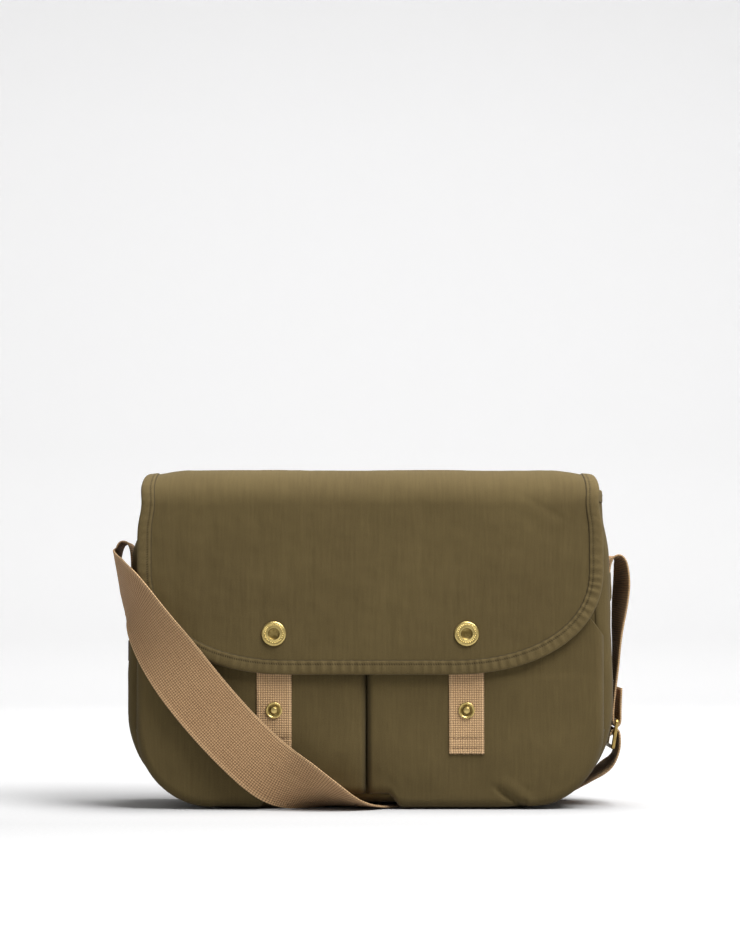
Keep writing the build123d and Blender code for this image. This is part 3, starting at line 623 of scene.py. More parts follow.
def right_outline(low_x, top, steps):
    """The outline of the right side from the base up: places and outward ways."""
    turns = np.linspace(0, math.pi / 2, 40)
    corner_x = HALF_WIDTH - CORNER_R
    side_z = np.linspace(CORNER_R, top, 60)[1:]
    base_x = np.linspace(-corner_x, corner_x, 80)[:-1]
    x = np.concatenate([base_x, corner_x + CORNER_R * np.sin(turns), half_width(side_z, 0)])
    z = np.concatenate([0 * base_x, CORNER_R - CORNER_R * np.cos(turns), side_z])
    line = np.stack([x, z], axis=1)
    return evenly(line[line[:, 0] >= low_x - 1e-6], steps)[:2]


def depth_section(extra=()):
    """Depths and insets across a side panel, from its front edge to its back edge."""
    turns = np.linspace(0, math.pi / 2, 8)
    front = FRONT_Y + EDGE_R
    back = BACK_Y - EDGE_R
    middle = np.union1d(np.linspace(front, back, 30), np.array(extra))[1:-1]
    depths = np.concatenate([front - EDGE_R * np.cos(turns), middle, back + EDGE_R * np.sin(turns)])
    insets = np.concatenate([1 - np.sin(turns), np.zeros(len(middle)), 1 - np.cos(turns)]) * EDGE_R
    return depths, insets


# where the strap runs under the base: (x, y, angle, length)
BASE_CHANNELS = [(-14, -46, -47, 90), (11.5, 3.5, -20.7, 200), (133, 60, 37, 130)]
CHANNEL_HALF = 29
CHANNEL_LIFT = 4.4


def channel_lift(x, y):
    """How far the base is pushed up where the strap runs under it."""
    lift = np.zeros(np.broadcast(x, y).shape)
    for cx, cy, angle, length in BASE_CHANNELS:
        way = math.radians(angle)
        u = np.abs((x - cx) * math.cos(way) + (y - cy) * math.sin(way))
        v = np.abs((y - cy) * math.cos(way) - (x - cx) * math.sin(way))
        inside = 1 - smooth(0, 5, np.minimum(u, v) - CHANNEL_HALF)
        ends = 1 - smooth(0, 5, np.maximum(u, v) - length / 2)
        lift = np.maximum(lift, inside * ends)
    return lift * CHANNEL_LIFT


def settle(points):
    """The whole body's soft sag: the sides tuck in at the mouth."""
    x, y, z = points[..., 0], points[..., 1], points[..., 2]
    sides = smooth(120, 190, np.abs(x))
    tuck = smooth(212, 256, z) * sides * bump(12, 34, y)
    lean = smooth(206, 238, z) * sides * np.where(x < 0, 8.5, 2.0)
    moved = points.copy()
    moved[..., 0] = x - np.sign(x) * ((6 + 3 * np.sign(x)) * tuck + lean)
    moved[..., 1] = y + smooth(165, 245, z) * bump(FRONT_Y, 30, y) * 2.5 * np.cos(x / 90)
    return moved


ZIP_Y = 14
ZIP_LOW = 72
ZIP_HIGH = 150


def side_panel(name, side, steps, seed, zipped=False):
    """A side panel: a strip along the outline with soft round edges."""
    extra = [ZIP_Y + s * d for s in (-1, 1) for d in (6, 6.8, 7.6, 8.6)] if zipped else ()
    depths, insets = depth_section(extra)
    line, ways = right_outline(PANEL_SPLIT_X + PANEL_SPLIT_GAP, MOUTH_Z, steps)
    y = depths
    run = np.linspace(0, 400, steps)[:, None]
    height = line[:, 1:]
    middle = bump(9, 42, y)
    puff = 1.6 * middle * ripple(run, y * 1.4, 46, seed) + 0.8 * ripple(run, y, 17, seed + 1) * middle
    puff = puff * smooth(0, 18, height) * (1 - smooth(95, 0, height) * 0.7)
    puff += 1.7 * bump(196, 34, height) * bump(-34, 11, y) * (side > 0)
    puff -= 1.0 * (bump(depths[0], 2.2, y) + bump(depths[-1], 2.2, y))
    if zipped:
        window = (1 - smooth(6.2, 7.4, np.abs(y - ZIP_Y))) * smooth(ZIP_LOW - 2, ZIP_LOW, height)
        window = window * (1 - smooth(ZIP_HIGH, ZIP_HIGH + 2, height))
        lip = bump(8.2, 0.9, np.abs(y - ZIP_Y)) * smooth(ZIP_LOW - 3, ZIP_LOW, height)
        lip = lip * (1 - smooth(ZIP_HIGH, ZIP_HIGH + 3, height))
        calm = 1 - 0.85 * bump(ZIP_Y, 16, y) * bump((ZIP_LOW + ZIP_HIGH) / 2, 48, height)
        puff = puff * calm - 3.4 * window + 0.5 * lip
    out = puff - insets
    x = side * (line[:, :1] + ways[:, :1] * out)
    z = line[:, 1:] + ways[:, 1:] * out
    z = z + channel_lift(x, y) * (1 - smooth(4, 22, z))
    z = np.maximum(z, 0.3)
    grid = settle(layers(x, y, z))
    grid = grid[::-1] if side > 0 else grid[::-1, ::-1]
    return cloth(name, grid, CLOTH)


def panel_grid(inset, top, y, columns=90, rows=90):
    """A front or back wall seen from the front: rows from the top down."""
    turns = np.linspace(math.pi / 2, 0, 26)
    low_z = CORNER_R - (CORNER_R - inset) * np.cos(turns)
    z = np.concatenate([np.linspace(top, CORNER_R, rows - 25)[:-1], low_z])
    half = half_width(z, inset)
    across = np.sin(np.linspace(-1, 1, columns) * math.pi / 2 * 0.8) / math.sin(math.pi / 2 * 0.8)
    x = across[None, :] * half[:, None]
    return layers(x, y, z[:, None])


def wall(name, inset, top, y, facing, thick, seed, relief):
    """A front or back wall with soft hills, its edges turned in at the seam."""
    grid = panel_grid(inset, top, y)
    x, z = grid[..., 0], grid[..., 2]
    edge = np.minimum(half_width(z, inset) - np.abs(x), z - inset)
    calm = smooth(0, 24, edge)
    hills = relief * (ripple(x, z, 70, seed) + 0.4 * ripple(x, z, 26, seed + 1)) * calm
    # bows further out than in, so that it keeps clear of the cloth behind it
    hills = 0.7 * hills + 0.3 * np.sqrt(hills**2 + 0.1)
    hills -= 1.0 * bump(0, 2.5, edge)
    grid[..., 1] += facing * hills
    grid = settle(grid)
    if facing > 0:
        grid = grid[:, ::-1]
    return cloth(name, grid, thick)


def row_line(grid, row, columns=slice(None)):
    """A row of a grid as a line with its outward ways."""
    return grid[row, columns], grid_normals(grid)[row, columns]


def column_line(grid, column, rows):
    """A column of a grid as a line with its outward ways."""
    return grid[rows, column], grid_normals(grid)[rows, column]


attach(side_panel("side_left_cloth", -1, 150, 11, True), "canvas", "gusset_left")
attach(side_panel("side_right_cloth", 1, 120, 21), "canvas", "gusset_right")


def base_cloth():
    """The padded base between the two side panels."""
    y, insets = depth_section()
    corner_x = HALF_WIDTH - CORNER_R
    half = PANEL_SPLIT_X - PANEL_SPLIT_GAP
    x = np.linspace(-half, half, 130)[:, None]
    fall = CORNER_R - np.sqrt(CORNER_R**2 - np.maximum(np.abs(x) - corner_x, 0) ** 2)
    z = fall + insets + 0.3
    z = z + channel_lift(x, y) * (1 - smooth(2, 12, insets))
    z = z + 0.5 * bump(half, 3, np.abs(x))
    return cloth("base_cloth", layers(x, y, z)[::-1], 4.0)


base = base_cloth()
attach(base, "canvas", "base_panel")
attach(wall("front_wall_cloth", EDGE_R, 257, FRONT_Y, -1, CLOTH, 31, 0.8), "canvas", "front_panel")
attach(wall("back_wall_cloth", EDGE_R, 270, BACK_Y, 1, CLOTH, 41, 2.2), "canvas", "back_panel")

# --- lining, mouth, patches

LINING_INSET = 6
LINING_FRONT_Y = -44
LINING_BACK_Y = 62
INNER_HALF = 95
INNER_TOP_Z = 195
INNER_LOW_Z = 65


def lining_strip():
    """The lining's sides and floor in one piece."""
    line, ways = right_outline(0, 257, 110)
    line, ways = mirrored(line), mirrored(ways)
    y = np.linspace(LINING_FRONT_Y, LINING_BACK_Y, 46)
    run = np.linspace(0, 900, len(line))[:, None]
    calm = (1 - bump(LINING_FRONT_Y, 6, y)) * (1 - bump(LINING_BACK_Y, 6, y))
    hills = 0.9 * ripple(run, y, 44, 61) * calm
    push = hills - LINING_INSET - 1.2
    x = line[:, :1] + ways[:, :1] * push
    z = line[:, 1:] + ways[:, 1:] * push
    z = z + smooth(30, 0, z) * 1.5
    return cloth("lining_sides", settle(layers(x, y, z)), 0.5)


attach(lining_strip(), "lining_cloth", "lining")
attach(wall("lining_front", LINING_INSET + 1, 256.5, LINING_FRONT_Y, -1, 0.5, 63, 0.7), "lining_cloth")
attach(wall("lining_back", LINING_INSET + 1, 256.5, LINING_BACK_Y, 1, 0.5, 65, 0.7), "lining_cloth")


def inner_pocket():
    """The flat pocket on the lining's back wall."""
    x = np.linspace(-INNER_HALF, INNER_HALF, 60)
    z = np.linspace(INNER_TOP_Z, INNER_LOW_Z, 50)[:, None]
    edge = np.minimum(INNER_HALF - np.abs(x), z - INNER_LOW_Z)
    y = 60.6 - 1.8 * smooth(0, 20, edge) - 0.5 * ripple(x, z, 40, 71) * smooth(0, 20, edge)
    y = y - 1.2 * smooth(INNER_TOP_Z - 20, INNER_TOP_Z, z) * np.cos(x / 60)
    return layers(x, y, z)


inner_grid = inner_pocket()
attach(cloth("inner_pocket_cloth", inner_grid, 0.7), "lining_cloth", "inner_pocket")
sew("inner_pocket_stitches", *row_line(inner_grid, 2))


def mouth_binding():
    """The tape folded over the mouth's front and side edges."""
    turns = np.linspace(0, math.pi / 2, 14)
    half = float(half_width(258, 0))
    corner_x = half - EDGE_R
    corner_y = FRONT_Y + EDGE_R
    x = [np.linspace(0, corner_x, 60)[:-1], corner_x + EDGE_R * np.sin(turns), np.full(29, half)]
    y = [np.full(59, FRONT_Y), corner_y - EDGE_R * np.cos(turns), np.linspace(corner_y, 42, 30)[1:]]
    path = mirrored(np.stack([np.concatenate(x), np.concatenate(y)], axis=1))
    along = unit(np.gradient(path, axis=0))
    out = np.stack([along[:, 1], -along[:, 0]], axis=1)
    deep = 5.8 + 2.0 * np.abs(out[:, 0])
    outer = [(1.1, -9), (1.3, -7.5), (1.3, -3), (1.15, -0.6), (0.7, 0.6), (0, 1.2)]
    inner = [(0, 1.2), (-0.6, 0.6), (-0.9, -0.6), (-0.9, -3), (-0.9, -9)]
    rows = [(push + 0 * deep, up) for push, up in outer] + [(push - deep, up) for push, up in inner]
    push = np.array([push for push, _ in rows[::-1]])
    up = np.array([[up] for _, up in rows[::-1]])
    run = np.linspace(0, 600, len(path))
    z = MOUTH_Z - 0.4 + up + ripple(run, 0 * up, 60, 81)
    return settle(layers(path[:, 0] + out[:, 0] * push, path[:, 1] + out[:, 1] * push, z))


binding_grid = mouth_binding()
attach(cloth("mouth_binding_tape", binding_grid, 0.8), "canvas_trim", "mouth_binding")
sew("mouth_binding_stitches", *row_line(binding_grid, -3))


def strap_patch(side):
    """The cloth patch that holds a strap's end on the side panel."""
    y = np.linspace(-28, 28, 60)
    z = np.linspace(192, 162, 34)[:, None]
    over = (1 - smooth(25.2, 27.4, np.abs(y))) * smooth(166, 172, z)
    body = half_width(z, 0)
    x = body + 1.2 + over * 2.0 + 0.15 * ripple(y, z, 9, 91)
    x = x - 0.7 * (bump(27.8, 1.5, np.abs(y)) + bump(162, 1.5, z))
    return layers(side * x, side * y, z)


for side, label in SIDES:
    patch_grid = strap_patch(side)
    attach(cloth(f"strap_patch_{label}_cloth", patch_grid, 1.0), "canvas_trim", f"strap_patch_{label}")
    for number, row in enumerate((3, -4)):
        seam = row_line(patch_grid, row, slice(4, -4))
        sew(f"strap_patch_{label}_stitches_{number}", *seam, material="tab_thread")
    for number, column in enumerate((6, -7)):
        seam = column_line(patch_grid, column, slice(3, -3))
        sew(f"strap_patch_{label}_side_stitches_{number}", *seam, material="tab_thread")

# --- pockets

STRAP_LEFT_X = -86  # the strap passes under the pockets between these
STRAP_RIGHT_X = 24
STRAP_LIFT = 11
CREASE_LOW = (122, 3)
CREASE_HIGH = (95, 22)


def pocket_low(x):
    """The pockets' lower outline."""
    past = np.clip(np.abs(x) - (POCKET_HALF - POCKET_R), 0, POCKET_R)
    low = POCKET_Z + POCKET_R - np.sqrt(POCKET_R**2 - past**2)
    lift = smooth(STRAP_LEFT_X - 5, STRAP_LEFT_X + 7, x)
    lift = lift - smooth(STRAP_RIGHT_X - 10, STRAP_RIGHT_X + 2, x)
    return low + STRAP_LIFT * lift + 1.6 * bump(128, 14, x) + 0.8 * bump(-120, 20, x)


def pocket_high(x):
    """The pockets' mouth."""
    slope = (POCKET_MOUTH_Z - POCKET_SIDE_Z) / (POCKET_HALF - POCKET_FLAT_X)
    past = np.maximum(np.abs(x) - POCKET_FLAT_X, 0)
    return POCKET_MOUTH_Z - slope * past**2 / (past + 3) - 0.8 * bump(120, 22, np.abs(x))


def segment_distance(x, z, a, b):
    """Distance to a line between two points, and how far along it."""
    ax, az = a
    dx, dz = b[0] - ax, b[1] - az
    t = np.clip(((x - ax) * dx + (z - az) * dz) / (dx * dx + dz * dz), 0, 1)
    away = np.hypot(x - ax - t * dx, z - az - t * dz)
    side = np.sign((x - ax) * dz - (z - az) * dx)
    return away * side, t


def pocket_face(x, z):
    """The depth of the pockets' outer face."""
    low = pocket_low(x)
    corner = POCKET_HALF - POCKET_R
    centre_z = POCKET_Z + POCKET_R
    in_corner = (np.abs(x) > corner) & (z < centre_z)
    round_edge = POCKET_R - np.hypot(np.abs(x) - corner, z - centre_z)
    edge = np.where(in_corner, round_edge, np.minimum(POCKET_HALF - np.abs(x), z - low))
    edge = np.maximum(edge, 0)
    lip = 1 - np.clip(edge / POCKET_ROLL, 0, 1)
    y = POCKET_EDGE_Y - (POCKET_EDGE_Y - POCKET_FACE_Y) * np.sqrt(1 - lip**2)
    snaps = bump(SNAP_X, 22, np.abs(x))
    full = smooth(4, 50, edge) * (1 - 0.97 * snaps)
    y = y - 1.7 * full * (1 - smooth(104, 112, z) * 0.6)
    y = y - 1.1 * bump(34, 26, z) * smooth(3, 22, edge) * (1 - snaps)
    calm = (1 - 0.9 * bump(SNAP_X, 17, np.abs(x))) * smooth(3, 20, edge)
    y = y - calm * (0.7 * ripple(x, z, 52, 101) + 0.35 * ripple(x, z, 19, 103) + 0.1 * ripple(x, z, 8, 105))
    gap = np.abs(x - POCKET_GAP_X)
    y = y + 3.2 * (1 - smooth(0.4, 5.0, gap)) ** 1.5 + 0.9 * (1 - smooth(2, 16, gap))
    away, t = segment_distance(x, z, CREASE_LOW, CREASE_HIGH)
    fade = (1 - smooth(0.35, 1.0, t)) * (1 - smooth(11, 17, np.abs(away)))
    return y + fade * (2.8 * bump(0, 2.3, away) - 1.0 * bump(7.5, 5, away))


def pocket(side):
    """One front pocket, whose outer edges curl back to the bag, and its wear and painted shade."""
    near = POCKET_GAP + side * POCKET_GAP_X
    inner = near + np.array([0, 0.3, 0.9, 1.8, 3, 4.5, 6.5])
    middle = np.linspace(near + 8, POCKET_HALF - 27.5, 105)
    outer = POCKET_HALF - 26 + 26 * np.sin(np.linspace(0, math.pi / 2, 22))
    x = side * np.concatenate([inner, middle, outer])[::side]
    low, high = pocket_low(x), pocket_high(x)
    ends = [0, 0.15, 0.6, 1.4, 2.4, 3.6, 5, 6.6, 8.6], [152.6, 154.8, 157, 158.4, 158.8]
    up = np.concatenate([ends[0], np.linspace(10.5, 150, 92), ends[1]])[::-1, None]
    z = low + (high - low) * up / up.max()
    y = pocket_face(x, z)
    below = high - z
    sewn = 1 - smooth(160, 174, np.abs(x))
    hem = (1 - smooth(9.6, 11.4, below)) * sewn
    y = y - 0.5 * hem + 0.4 * bump(11.2, 0.9, below) * sewn
    # painted shade in the seam groove under the hem; the hem's top edge is rubbed lighter as wear
    wear_and_shading = -0.7 * bump(11.2, 1.0, below) * sewn + 0.25 * bump(0, 2.2, below) * sewn
    # painted shade in the gap between the pockets, and darker towards the bottom edge
    wear_and_shading = wear_and_shading - 0.55 * (1 - smooth(0, 6, np.abs(x - POCKET_GAP_X))) - 0.3 * (1 - smooth(0, 14, z))
    return layers(x, y, z), wear_and_shading


for side, label in SIDES:
    grid, wear_and_shading = pocket(side)
    attach(cloth(f"pocket_{label}_cloth", grid, CLOTH, wear_and_shading), "canvas", f"pocket_{label}")
    for number, below in enumerate((2.4, 8.8)):
        line, ways = row_line(grid, 0, slice(4, -24) if side > 0 else slice(24, -4))
        x, z = line[:, 0], line[:, 2] - below
        sew(f"pocket_{label}_stitches_{number}", layers(x, pocket_face(x, z) - 0.5, z), ways)
    line, ways = row_line(grid, 0, slice(6, -14) if side > 0 else slice(14, -6))
    x, z = line[:, 0], line[:, 2] - np.linspace(0.4, 11, 8)[:, None]
    hem_grid = layers(x, pocket_face(x, z) + CLOTH + 0.75, z)
    attach(cloth(f"pocket_{label}_hem_tape", hem_grid, 0.6), "canvas_trim", f"pocket_hem_{label}")

# --- tabs

def tab(middle):
    """A webbing tab sewn flat on the pocket, with a cut lower end, and its wear and painted shade."""
    x = middle + np.linspace(-TAB_WIDTH / 2, TAB_WIDTH / 2, 30)
    z = np.linspace(TAB_TOP_Z, TAB_LOW_Z, 110)[:, None]
    fray = 0.35 * ripple(x, z * 0, 1.6, 111) * smooth(TAB_LOW_Z + 4, TAB_LOW_Z, z)
    edge = TAB_WIDTH / 2 - np.abs(x - middle)
    y = pocket_face(x, z) - TAB_THICK - 0.1 * ripple(x, z, 14, 113)
    y = y - 0.25 * bump(1.4, 0.9, edge) + 0.35 * bump(0, 0.6, edge)
    wear_and_shading = 0.35 * bump(1.2, 1.0, edge) + 0.5 * smooth(TAB_LOW_Z + 3, TAB_LOW_Z, z)
    for up in TAB_SEAMS:
        y = y + 0.35 * bump(TAB_LOW_Z + up, 1.0, z)
        # painted shade in the sunken stitch rows
        wear_and_shading = wear_and_shading - 0.35 * bump(TAB_LOW_Z + up, 0.9, z)
    return layers(x, y, z + fray), wear_and_shading


def frayed_end(name, grid, seed):
    """Loose yarn ends along a tab's cut edge."""
    rng = np.random.default_rng(seed)
    line = grid[-1]
    z = float(line[:, 2].mean()) + 1.0
    points, faces = [], []
    for x in np.arange(line[0, 0] + 0.6, line[-1, 0] - 0.4, 0.9):
        y = float(np.interp(x, line[:, 0], line[:, 1])) + rng.uniform(0.2, 1.1)
        reach = rng.uniform(0.6, 2.0) + 1.0
        lean = rng.uniform(-0.5, 0.5)
        faces += [face[::-1] for face in ring_faces(3, 5, len(points))]
        for step, radius in ((0, 0.22), (0.6, 0.2), (1, 0.06)):
            for c, s in circle(5):
                spot = (x + lean * step + radius * c, y - 0.3 * step + radius * s, z - reach * step)
                points.append(spot)
    return finish_mesh(name, points, faces)


for side, label in SIDES:
    tab_grid, wear_and_shading = tab(side * SNAP_X)
    attach(cloth(f"tab_{label}_webbing", tab_grid, 1.3, wear_and_shading), "webbing", f"tab_{label}")
    attach(frayed_end(f"tab_{label}_fray", tab_grid, 121 + side), "webbing")
    for number, up in enumerate(TAB_SEAMS):
        row = int(np.argmin(np.abs(tab_grid[:, 0, 2] - TAB_LOW_Z - up)))
        seam = row_line(tab_grid, row, slice(2, -2))
        sew(f"tab_{label}_stitches_{number}", *seam, material="tab_thread")

# --- flap

BACK_ROLL = 6
BACK_DROP = 8.5
TOP_FRONT_Y = FLAP_Y + FLAP_ROLL
BACK_FACE_Y = BACK_Y + 1.9
TOP_RUN = BACK_FACE_Y - BACK_ROLL - TOP_FRONT_Y
S_TOP = BACK_DROP + BACK_ROLL * math.pi / 2
S_ROLL = S_TOP + TOP_RUN
S_FRONT = S_ROLL + FLAP_ROLL * math.pi / 2
ROLL_Z = FLAP_TOP_Z - FLAP_ROLL
S_END = S_FRONT + ROLL_Z - FLAP_LOW_Z
S_SPLIT = S_TOP + 62


def flap_side_run():
    """How far down the cloth the straight sides go."""
    return S_END - FLAP_CORNER[1]


def flap_edge(steps):
    """The flap's outline on the flat cloth: (across, down) from back left to back right."""
    half_low = FLAP_HALF - FLAP_CORNER[0]
    turns = np.linspace(0, math.pi / 2, 160)
    share = 2 / FLAP_CORNER_POWER
    arc_x = -half_low - FLAP_CORNER[0] * np.cos(turns) ** share
    arc_s = flap_side_run() + FLAP_CORNER[1] * np.sin(turns) ** share
    side = np.stack([np.full(80, -float(FLAP_HALF)), np.linspace(0, flap_side_run(), 80)], axis=1)[:-1]
    left = np.concatenate([side, np.stack([arc_x, arc_s], axis=1)])
    return evenly(np.concatenate([left, left[::-1] * [-1, 1]]), steps)


def flap_hills(x, s):
    """The flap's soft relief: broad hills, faint creases and calm rounds at the snaps."""
    z = S_FRONT + ROLL_Z - s
    relief = 0.8 * ripple(x, s, 62, 131) + 0.3 * ripple(x, s, 23, 133) + 0.1 * ripple(x, s, 9, 135)
    relief = relief + 0.22 * ripple(x, s * 0.12, 9, 137)
    relief = relief * (1 - 0.65 * bump(S_ROLL + 4, 26, s))
    for side in (-1, 1):
        near = np.hypot(x - side * SNAP_X, z - SNAP_Z)
        relief = relief * (1 - 0.95 * bump(0, 17, near)) - 0.35 * bump(0, 15, near)
        for shift, strength in ((-10, 0.55), (9, 0.4)):
            lean = x - side * SNAP_X - shift - 0.05 * (z - SNAP_Z)
            above = strength * smooth(148, 158, z) * (1 - smooth(185, 212, z))
            relief = relief + above * (0.7 * bump(3.2, 2.4, lean) - bump(0, 1.6, lean))
    away, t = segment_distance(x, z, (112, 262), (172, 226))
    relief = relief + (0.2 * bump(7, 5, away) - 0.28 * bump(0, 3.0, away)) * np.sin(t * math.pi)
    away, t = segment_distance(x, z, (-176, 232), (-128, 256))
    relief = relief - 0.2 * bump(0, 2.5, away) * np.sin(t * math.pi)
    return relief


def flap_place(x, s, lift):
    """A point of the flap's cloth in the bag's frame, lifted off the surface."""
    back = np.clip((s - BACK_DROP) / BACK_ROLL, 0, math.pi / 2)
    front = np.clip((s - S_ROLL) / FLAP_ROLL, 0, math.pi / 2)
    top = np.clip(s - S_TOP, 0, TOP_RUN)
    rise = np.minimum(s, BACK_DROP)
    fall = np.maximum(s - S_FRONT, 0)
    y = BACK_FACE_Y - BACK_ROLL * (1 - np.cos(back)) - top - FLAP_ROLL * np.sin(front)
    low = FLAP_TOP_Z - BACK_ROLL - BACK_DROP
    z = low + rise + BACK_ROLL * np.sin(back) - FLAP_ROLL * (1 - np.cos(front)) - fall
    turn = math.pi / 2 - back - front
    out_y, out_z = np.sin(turn), np.cos(turn)
    sag = 2.6 * np.sin(math.pi * np.clip((s - S_TOP + 4) / (TOP_RUN + 8), 0, 1)) ** 2
    narrow = smooth(S_TOP - 5, S_TOP + 45, s) * (1 - smooth(S_ROLL - 2, S_FRONT + 6, s))
    tight = 0.03 * narrow + 0.016 * bump(S_FRONT, 13, s) + 0.046 * (1 - smooth(S_TOP, S_TOP + 60, s))
    waist = 1 - tight * np.abs(x / FLAP_HALF) ** 3
    back_drop = 5.5 * smooth(125, FLAP_HALF, np.abs(x)) * (1 - smooth(S_ROLL - 45, S_ROLL + 5, s))
    front_drop = 4.0 * smooth(150, FLAP_HALF, np.abs(x)) * bump(S_ROLL, 30, s) * (s < S_FRONT + 40)
    front_drop = front_drop * np.cos(np.clip((s - S_ROLL) / 60, -1, 1) * math.pi / 2)
    return layers(x * waist, y + out_y * lift, z + out_z * lift - sag - back_drop - front_drop)


def flap_grid(low_s, high_s, inset, lift, columns, rows):
    """The flap's cloth between two lines, inside the outline by inset."""
    half = FLAP_HALF - inset
    across = half * np.sin(np.linspace(-1, 1, columns) * math.pi / 2)
    corner_a, corner_b = FLAP_CORNER[0] - inset, FLAP_CORNER[1] - inset
    past = np.clip(np.abs(across) - (FLAP_HALF - FLAP_CORNER[0]), 0, corner_a)
    power = FLAP_CORNER_POWER
    end = flap_side_run() + corner_b * (1 - (past / corner_a) ** power) ** (1 / power)
    end = np.minimum(end, high_s)
    s = low_s + (end - low_s) * np.linspace(0, 1, rows)[:, None]
    return flap_place(across, s, flap_hills(across, s) + lift)


BACK_BLEND = ("bag_body", "flap_top", (0, 0.066, 0.262), (0, 0.054, 0.276))
FRONT_BLEND = ("flap_top", "flap_front", (0, -0.05, 0.276), (0, -0.0652, 0.262))
LAP = 5

flap_top_grid = flap_grid(0, S_SPLIT + LAP, 3, -1.0, 110, 70)
flap_front_grid = flap_grid(S_SPLIT - LAP, S_END, 3, 0, 190, 170)
attach(cloth("flap_top_cloth", flap_top_grid, 1.4), "canvas", "flap_top", blend=BACK_BLEND)
attach(cloth("flap_front_cloth", flap_front_grid, 1.4), "canvas", "flap_front", blend=FRONT_BLEND)
lining_top = cloth("flap_top_lining_cloth", flap_grid(S_TOP - 4, S_SPLIT, 4, -2.7, 80, 50), 0.4)
lining_low = cloth("flap_front_lining_cloth", flap_grid(S_SPLIT, S_END - 4, 4, -1.75, 110, 110), 0.4)
attach(lining_top, "lining_cloth", "flap_top_lining", blend=BACK_BLEND)
attach(lining_low, "lining_cloth", "flap_lining", blend=FRONT_BLEND)
sew("flap_lap_stitches", *row_line(flap_front_grid, 2), blend=BACK_BLEND)
sew("flap_back_stitches", *row_line(flap_top_grid, 2), blend=BACK_BLEND)

# across the hem from its inner edge, over its face and back below: (from the flap's edge, up)
BORDER_SECTION = [
    (12.6, -1.2), (11.9, -0.1), (11.4, 0.6), (10.6, 0.95), (9.5, 1.05), (HEM_STITCH, 1.0),
    (7.2, 1.05), (6, 1.05), (4.6, 1.0), (3.2, 0.9), (1.9, 0.65), (0.9, 0.25), (0.25, -0.4),
    (0, -1.2), (0.5, -2.3), (1.8, -2.7), (5, -2.8), (10.8, -2.8),
]
PUCKER = 7.4


def flap_border(name, keep):
    """The folded edge strip round the flap, gathered into short puckers."""
    line, inward, run = flap_edge(900)
    chosen = keep(*line.T)
    line, inward, run = line[chosen], inward[chosen], run[chosen]
    away, lift = np.array(BORDER_SECTION).T[:, :, None]
    x = line[:, 0] + inward[:, 0] * away
    s = line[:, 1] + inward[:, 1] * away
    drift = 1.9 * ripple(run, run * 0, 34, 141) + 0.9 * ripple(run, run * 0, 12, 143)
    wave = 0.5 + 0.5 * np.sin(2 * math.pi * run / PUCKER + drift)
    size = 0.5 + 0.4 * ripple(run, run * 0, 50, 145)
    size = size * (0.25 + 0.75 * smooth(flap_side_run() - 20, flap_side_run() + 40, line[:, 1]))
    gather = (wave**1.4 - 0.45) * size
    reach = smooth(-0.5, 3.5, away) * (1 - 0.35 * smooth(9, 11.5, away))
    top = (lift > -0.3) | (away > 12)
    hole = (np.abs(away - HEM_STITCH) < 0.1) & top & (np.arange(len(run)) % 2 == 0)
    height = lift + np.where(top, 1.0, 0.4) * gather * reach - 0.3 * hole
    # painted light and shade on the puckers: ridges lighter as rubbed wear and painted highlight, hollows
    # darker as painted shade; the folded outer edge is rubbed lighter as wear
    wear_and_shading = 0.45 * gather * reach + 0.1 * bump(0.6, 1.6, away)
    # painted shade in the stitch holes and along the seam groove at the strip's inner edge
    wear_and_shading = wear_and_shading - 1.1 * hole - smooth(10.9, 11.6, away)
    return cloth(name, flap_place(x, s, flap_hills(x, s) + height), 0.5, wear_and_shading)


for side, label in SIDES:
    strip = flap_border(f"flap_top_border_{label}_strip", lambda x, s: (s < S_SPLIT) & (side * x > 0))
    attach(strip, "canvas_trim", f"flap_top_border_{label}", blend=BACK_BLEND)
border = flap_border("flap_border_strip", lambda x, s: s > S_SPLIT - 2)
attach(border, "canvas_trim", "flap_border", blend=FRONT_BLEND)

# --- snaps

BEADS = 26
BEAD_RING_R = 7.3


def snap_cap(name, middle):
    """A domed brass cap with a dished centre and a ring of small beads."""
    profile = [
        (7.5, 0.2), (9.6, 0.2), (9.95, 0.5), (10, 0.85), (9.85, 1.3), (9.4, 1.7), (8.9, 1.88),
        (8.5, 1.86), (8.2, 1.7), (6.4, 1.62), (5.7, 1.7), (5.35, 1.85), (5.0, 1.88), (4.7, 1.75),
        (4.35, 1.3), (3.9, 1.0), (2.4, 0.85), (1.0, 0.8), (0.3, 0.79),
    ]
    dome = [(0.72, 1.45), (0.7, 1.75), (0.56, 2.0), (0.32, 2.15), (0.1, 2.2)]
    y = FLAP_Y - 0.1
    cap = turned(name, profile, (middle, y, SNAP_Z), 72, 4.8)
    beads = []
    for turn in np.linspace(0, 2 * math.pi, BEADS, endpoint=False):
        spot = (middle + BEAD_RING_R * math.cos(turn), y, SNAP_Z + BEAD_RING_R * math.sin(turn))
        beads.append(turned("bead", dome, spot, 10))
    with bpy.context.temp_override(active_object=cap, selected_editable_objects=[cap, *beads]):
        bpy.ops.object.join()
    return cap


def snap_stud(name, spot):
    """The lower half of a snap: a rolled rim, a dull well and a bright nub."""
    profile = [
        (6.4, 0.0), (6.6, 0.4), (6.6, 0.85), (6.35, 1.15), (5.9, 1.25), (5.45, 1.12), (5.1, 0.75),
        (4.6, 0.5), (3.9, 0.45), (3.3, 0.55), (2.85, 0.95), (2.7, 1.5), (2.6, 1.95), (2.25, 2.25),
        (1.5, 2.37), (0.3, 2.4),
    ]
    return turned(name, profile, spot, 56, 5.0, 2.75)


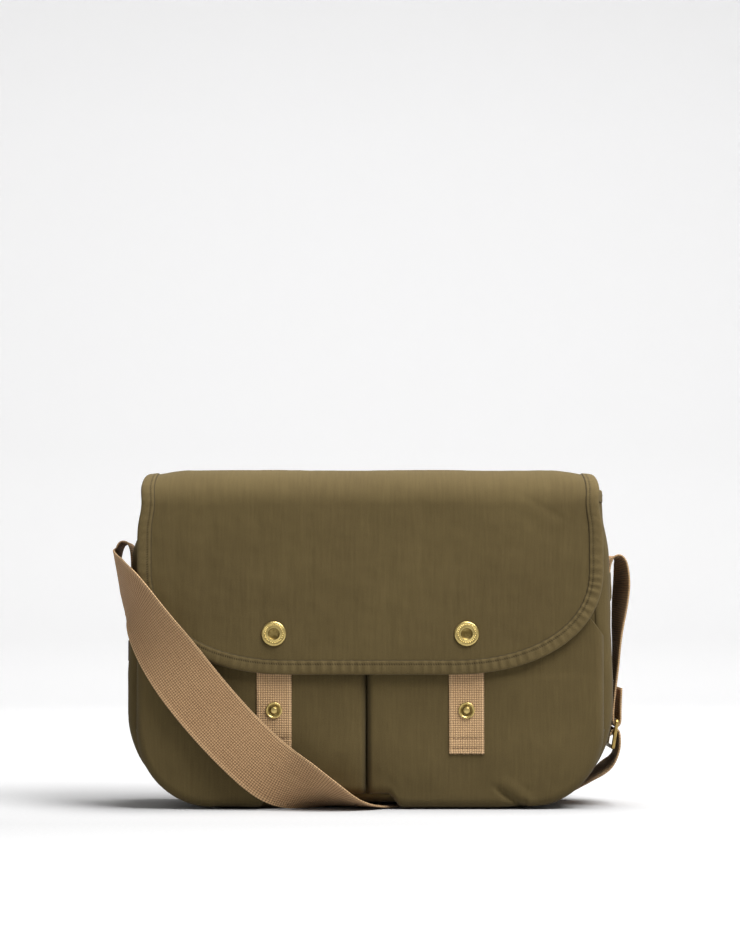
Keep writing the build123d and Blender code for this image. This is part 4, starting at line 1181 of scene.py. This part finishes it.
for side, label in SIDES:
    cap = snap_cap(f"cap_{label}_disc", side * SNAP_X)
    attach(cap, "snap_brass", f"cap_{label}", body="flap_front")
for side, label in SIDES:
    back_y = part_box(f"stud_lower_{label}")[1].y / MM
    stud = snap_stud(f"stud_lower_{label}_disc", (side * SNAP_X, back_y, STUD_Z))
    attach(stud, "snap_brass", f"stud_lower_{label}")

# --- metal kept from the frame

# a later finish takes the place of an earlier one
finishes = {
    "snap_brass": ("stud_", "post_", "socket_"),
    "spring_steel": ("spring_",),
    "zip_metal": ("zip_teeth", "zip_stop", "zip_slider", "zip_pull"),
    "zip_cloth": ("zip_tape",),
    "dark_leather": ("zip_pull_leather",),
    "buckle_brass": ("strap_buckle",),
}
for finish_name, starts in finishes.items():
    for node_name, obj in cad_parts.items():
        if node_name.startswith(starts):
            obj.data.materials.clear()
            obj.data.materials.append(materials[finish_name])

# --- strap pieces

attach(strap_long, "webbing", "strap_long", material="strap_webbing")
attach(strap_short, "webbing", "strap_short", material="strap_webbing")

# --- stage

def make_stage():
    """A pale seamless floor that curves up behind the bag, and soft lights."""
    profile = [(-6000, 0), (2400, 0), (3000, 100), (3400, 500), (3500, 1200), (3500, 6000)]
    points = [(x, y, z) for x in (-8000, 8000) for y, z in profile]
    n = len(profile)
    floor = finish_mesh("floor", points, [(i, n + i, n + i + 1, i + 1) for i in range(n - 1)])
    floor.data.materials.append(materials["backdrop"])
    for name, place, size, power in [
        ("key", (0.85, -0.85, 1.75), 1.3, 61),
        ("top", (0.15, 0.0, 1.9), 0.9, 40),
    ]:
        light = bpy.data.lights.new(name, "AREA")
        light.shape = "DISK"
        light.size = size
        light.energy = power
        obj = linked(name, light)
        obj.location = place
        aim = Vector((0, 0, 0.12)) - Vector(place)
        obj.rotation_euler = aim.to_track_quat("-Z", "Y").to_euler()
    world = bpy.data.worlds.new("world")
    world.use_nodes = True
    background = world.node_tree.nodes["Background"]
    background.inputs["Color"].default_value = (1, 0.99, 0.97, 1)
    background.inputs["Strength"].default_value = 0.34
    bpy.context.scene.world = world


make_stage()
bpy.context.scene.view_settings.view_transform = "Standard"

bpy.context.view_layer.update()
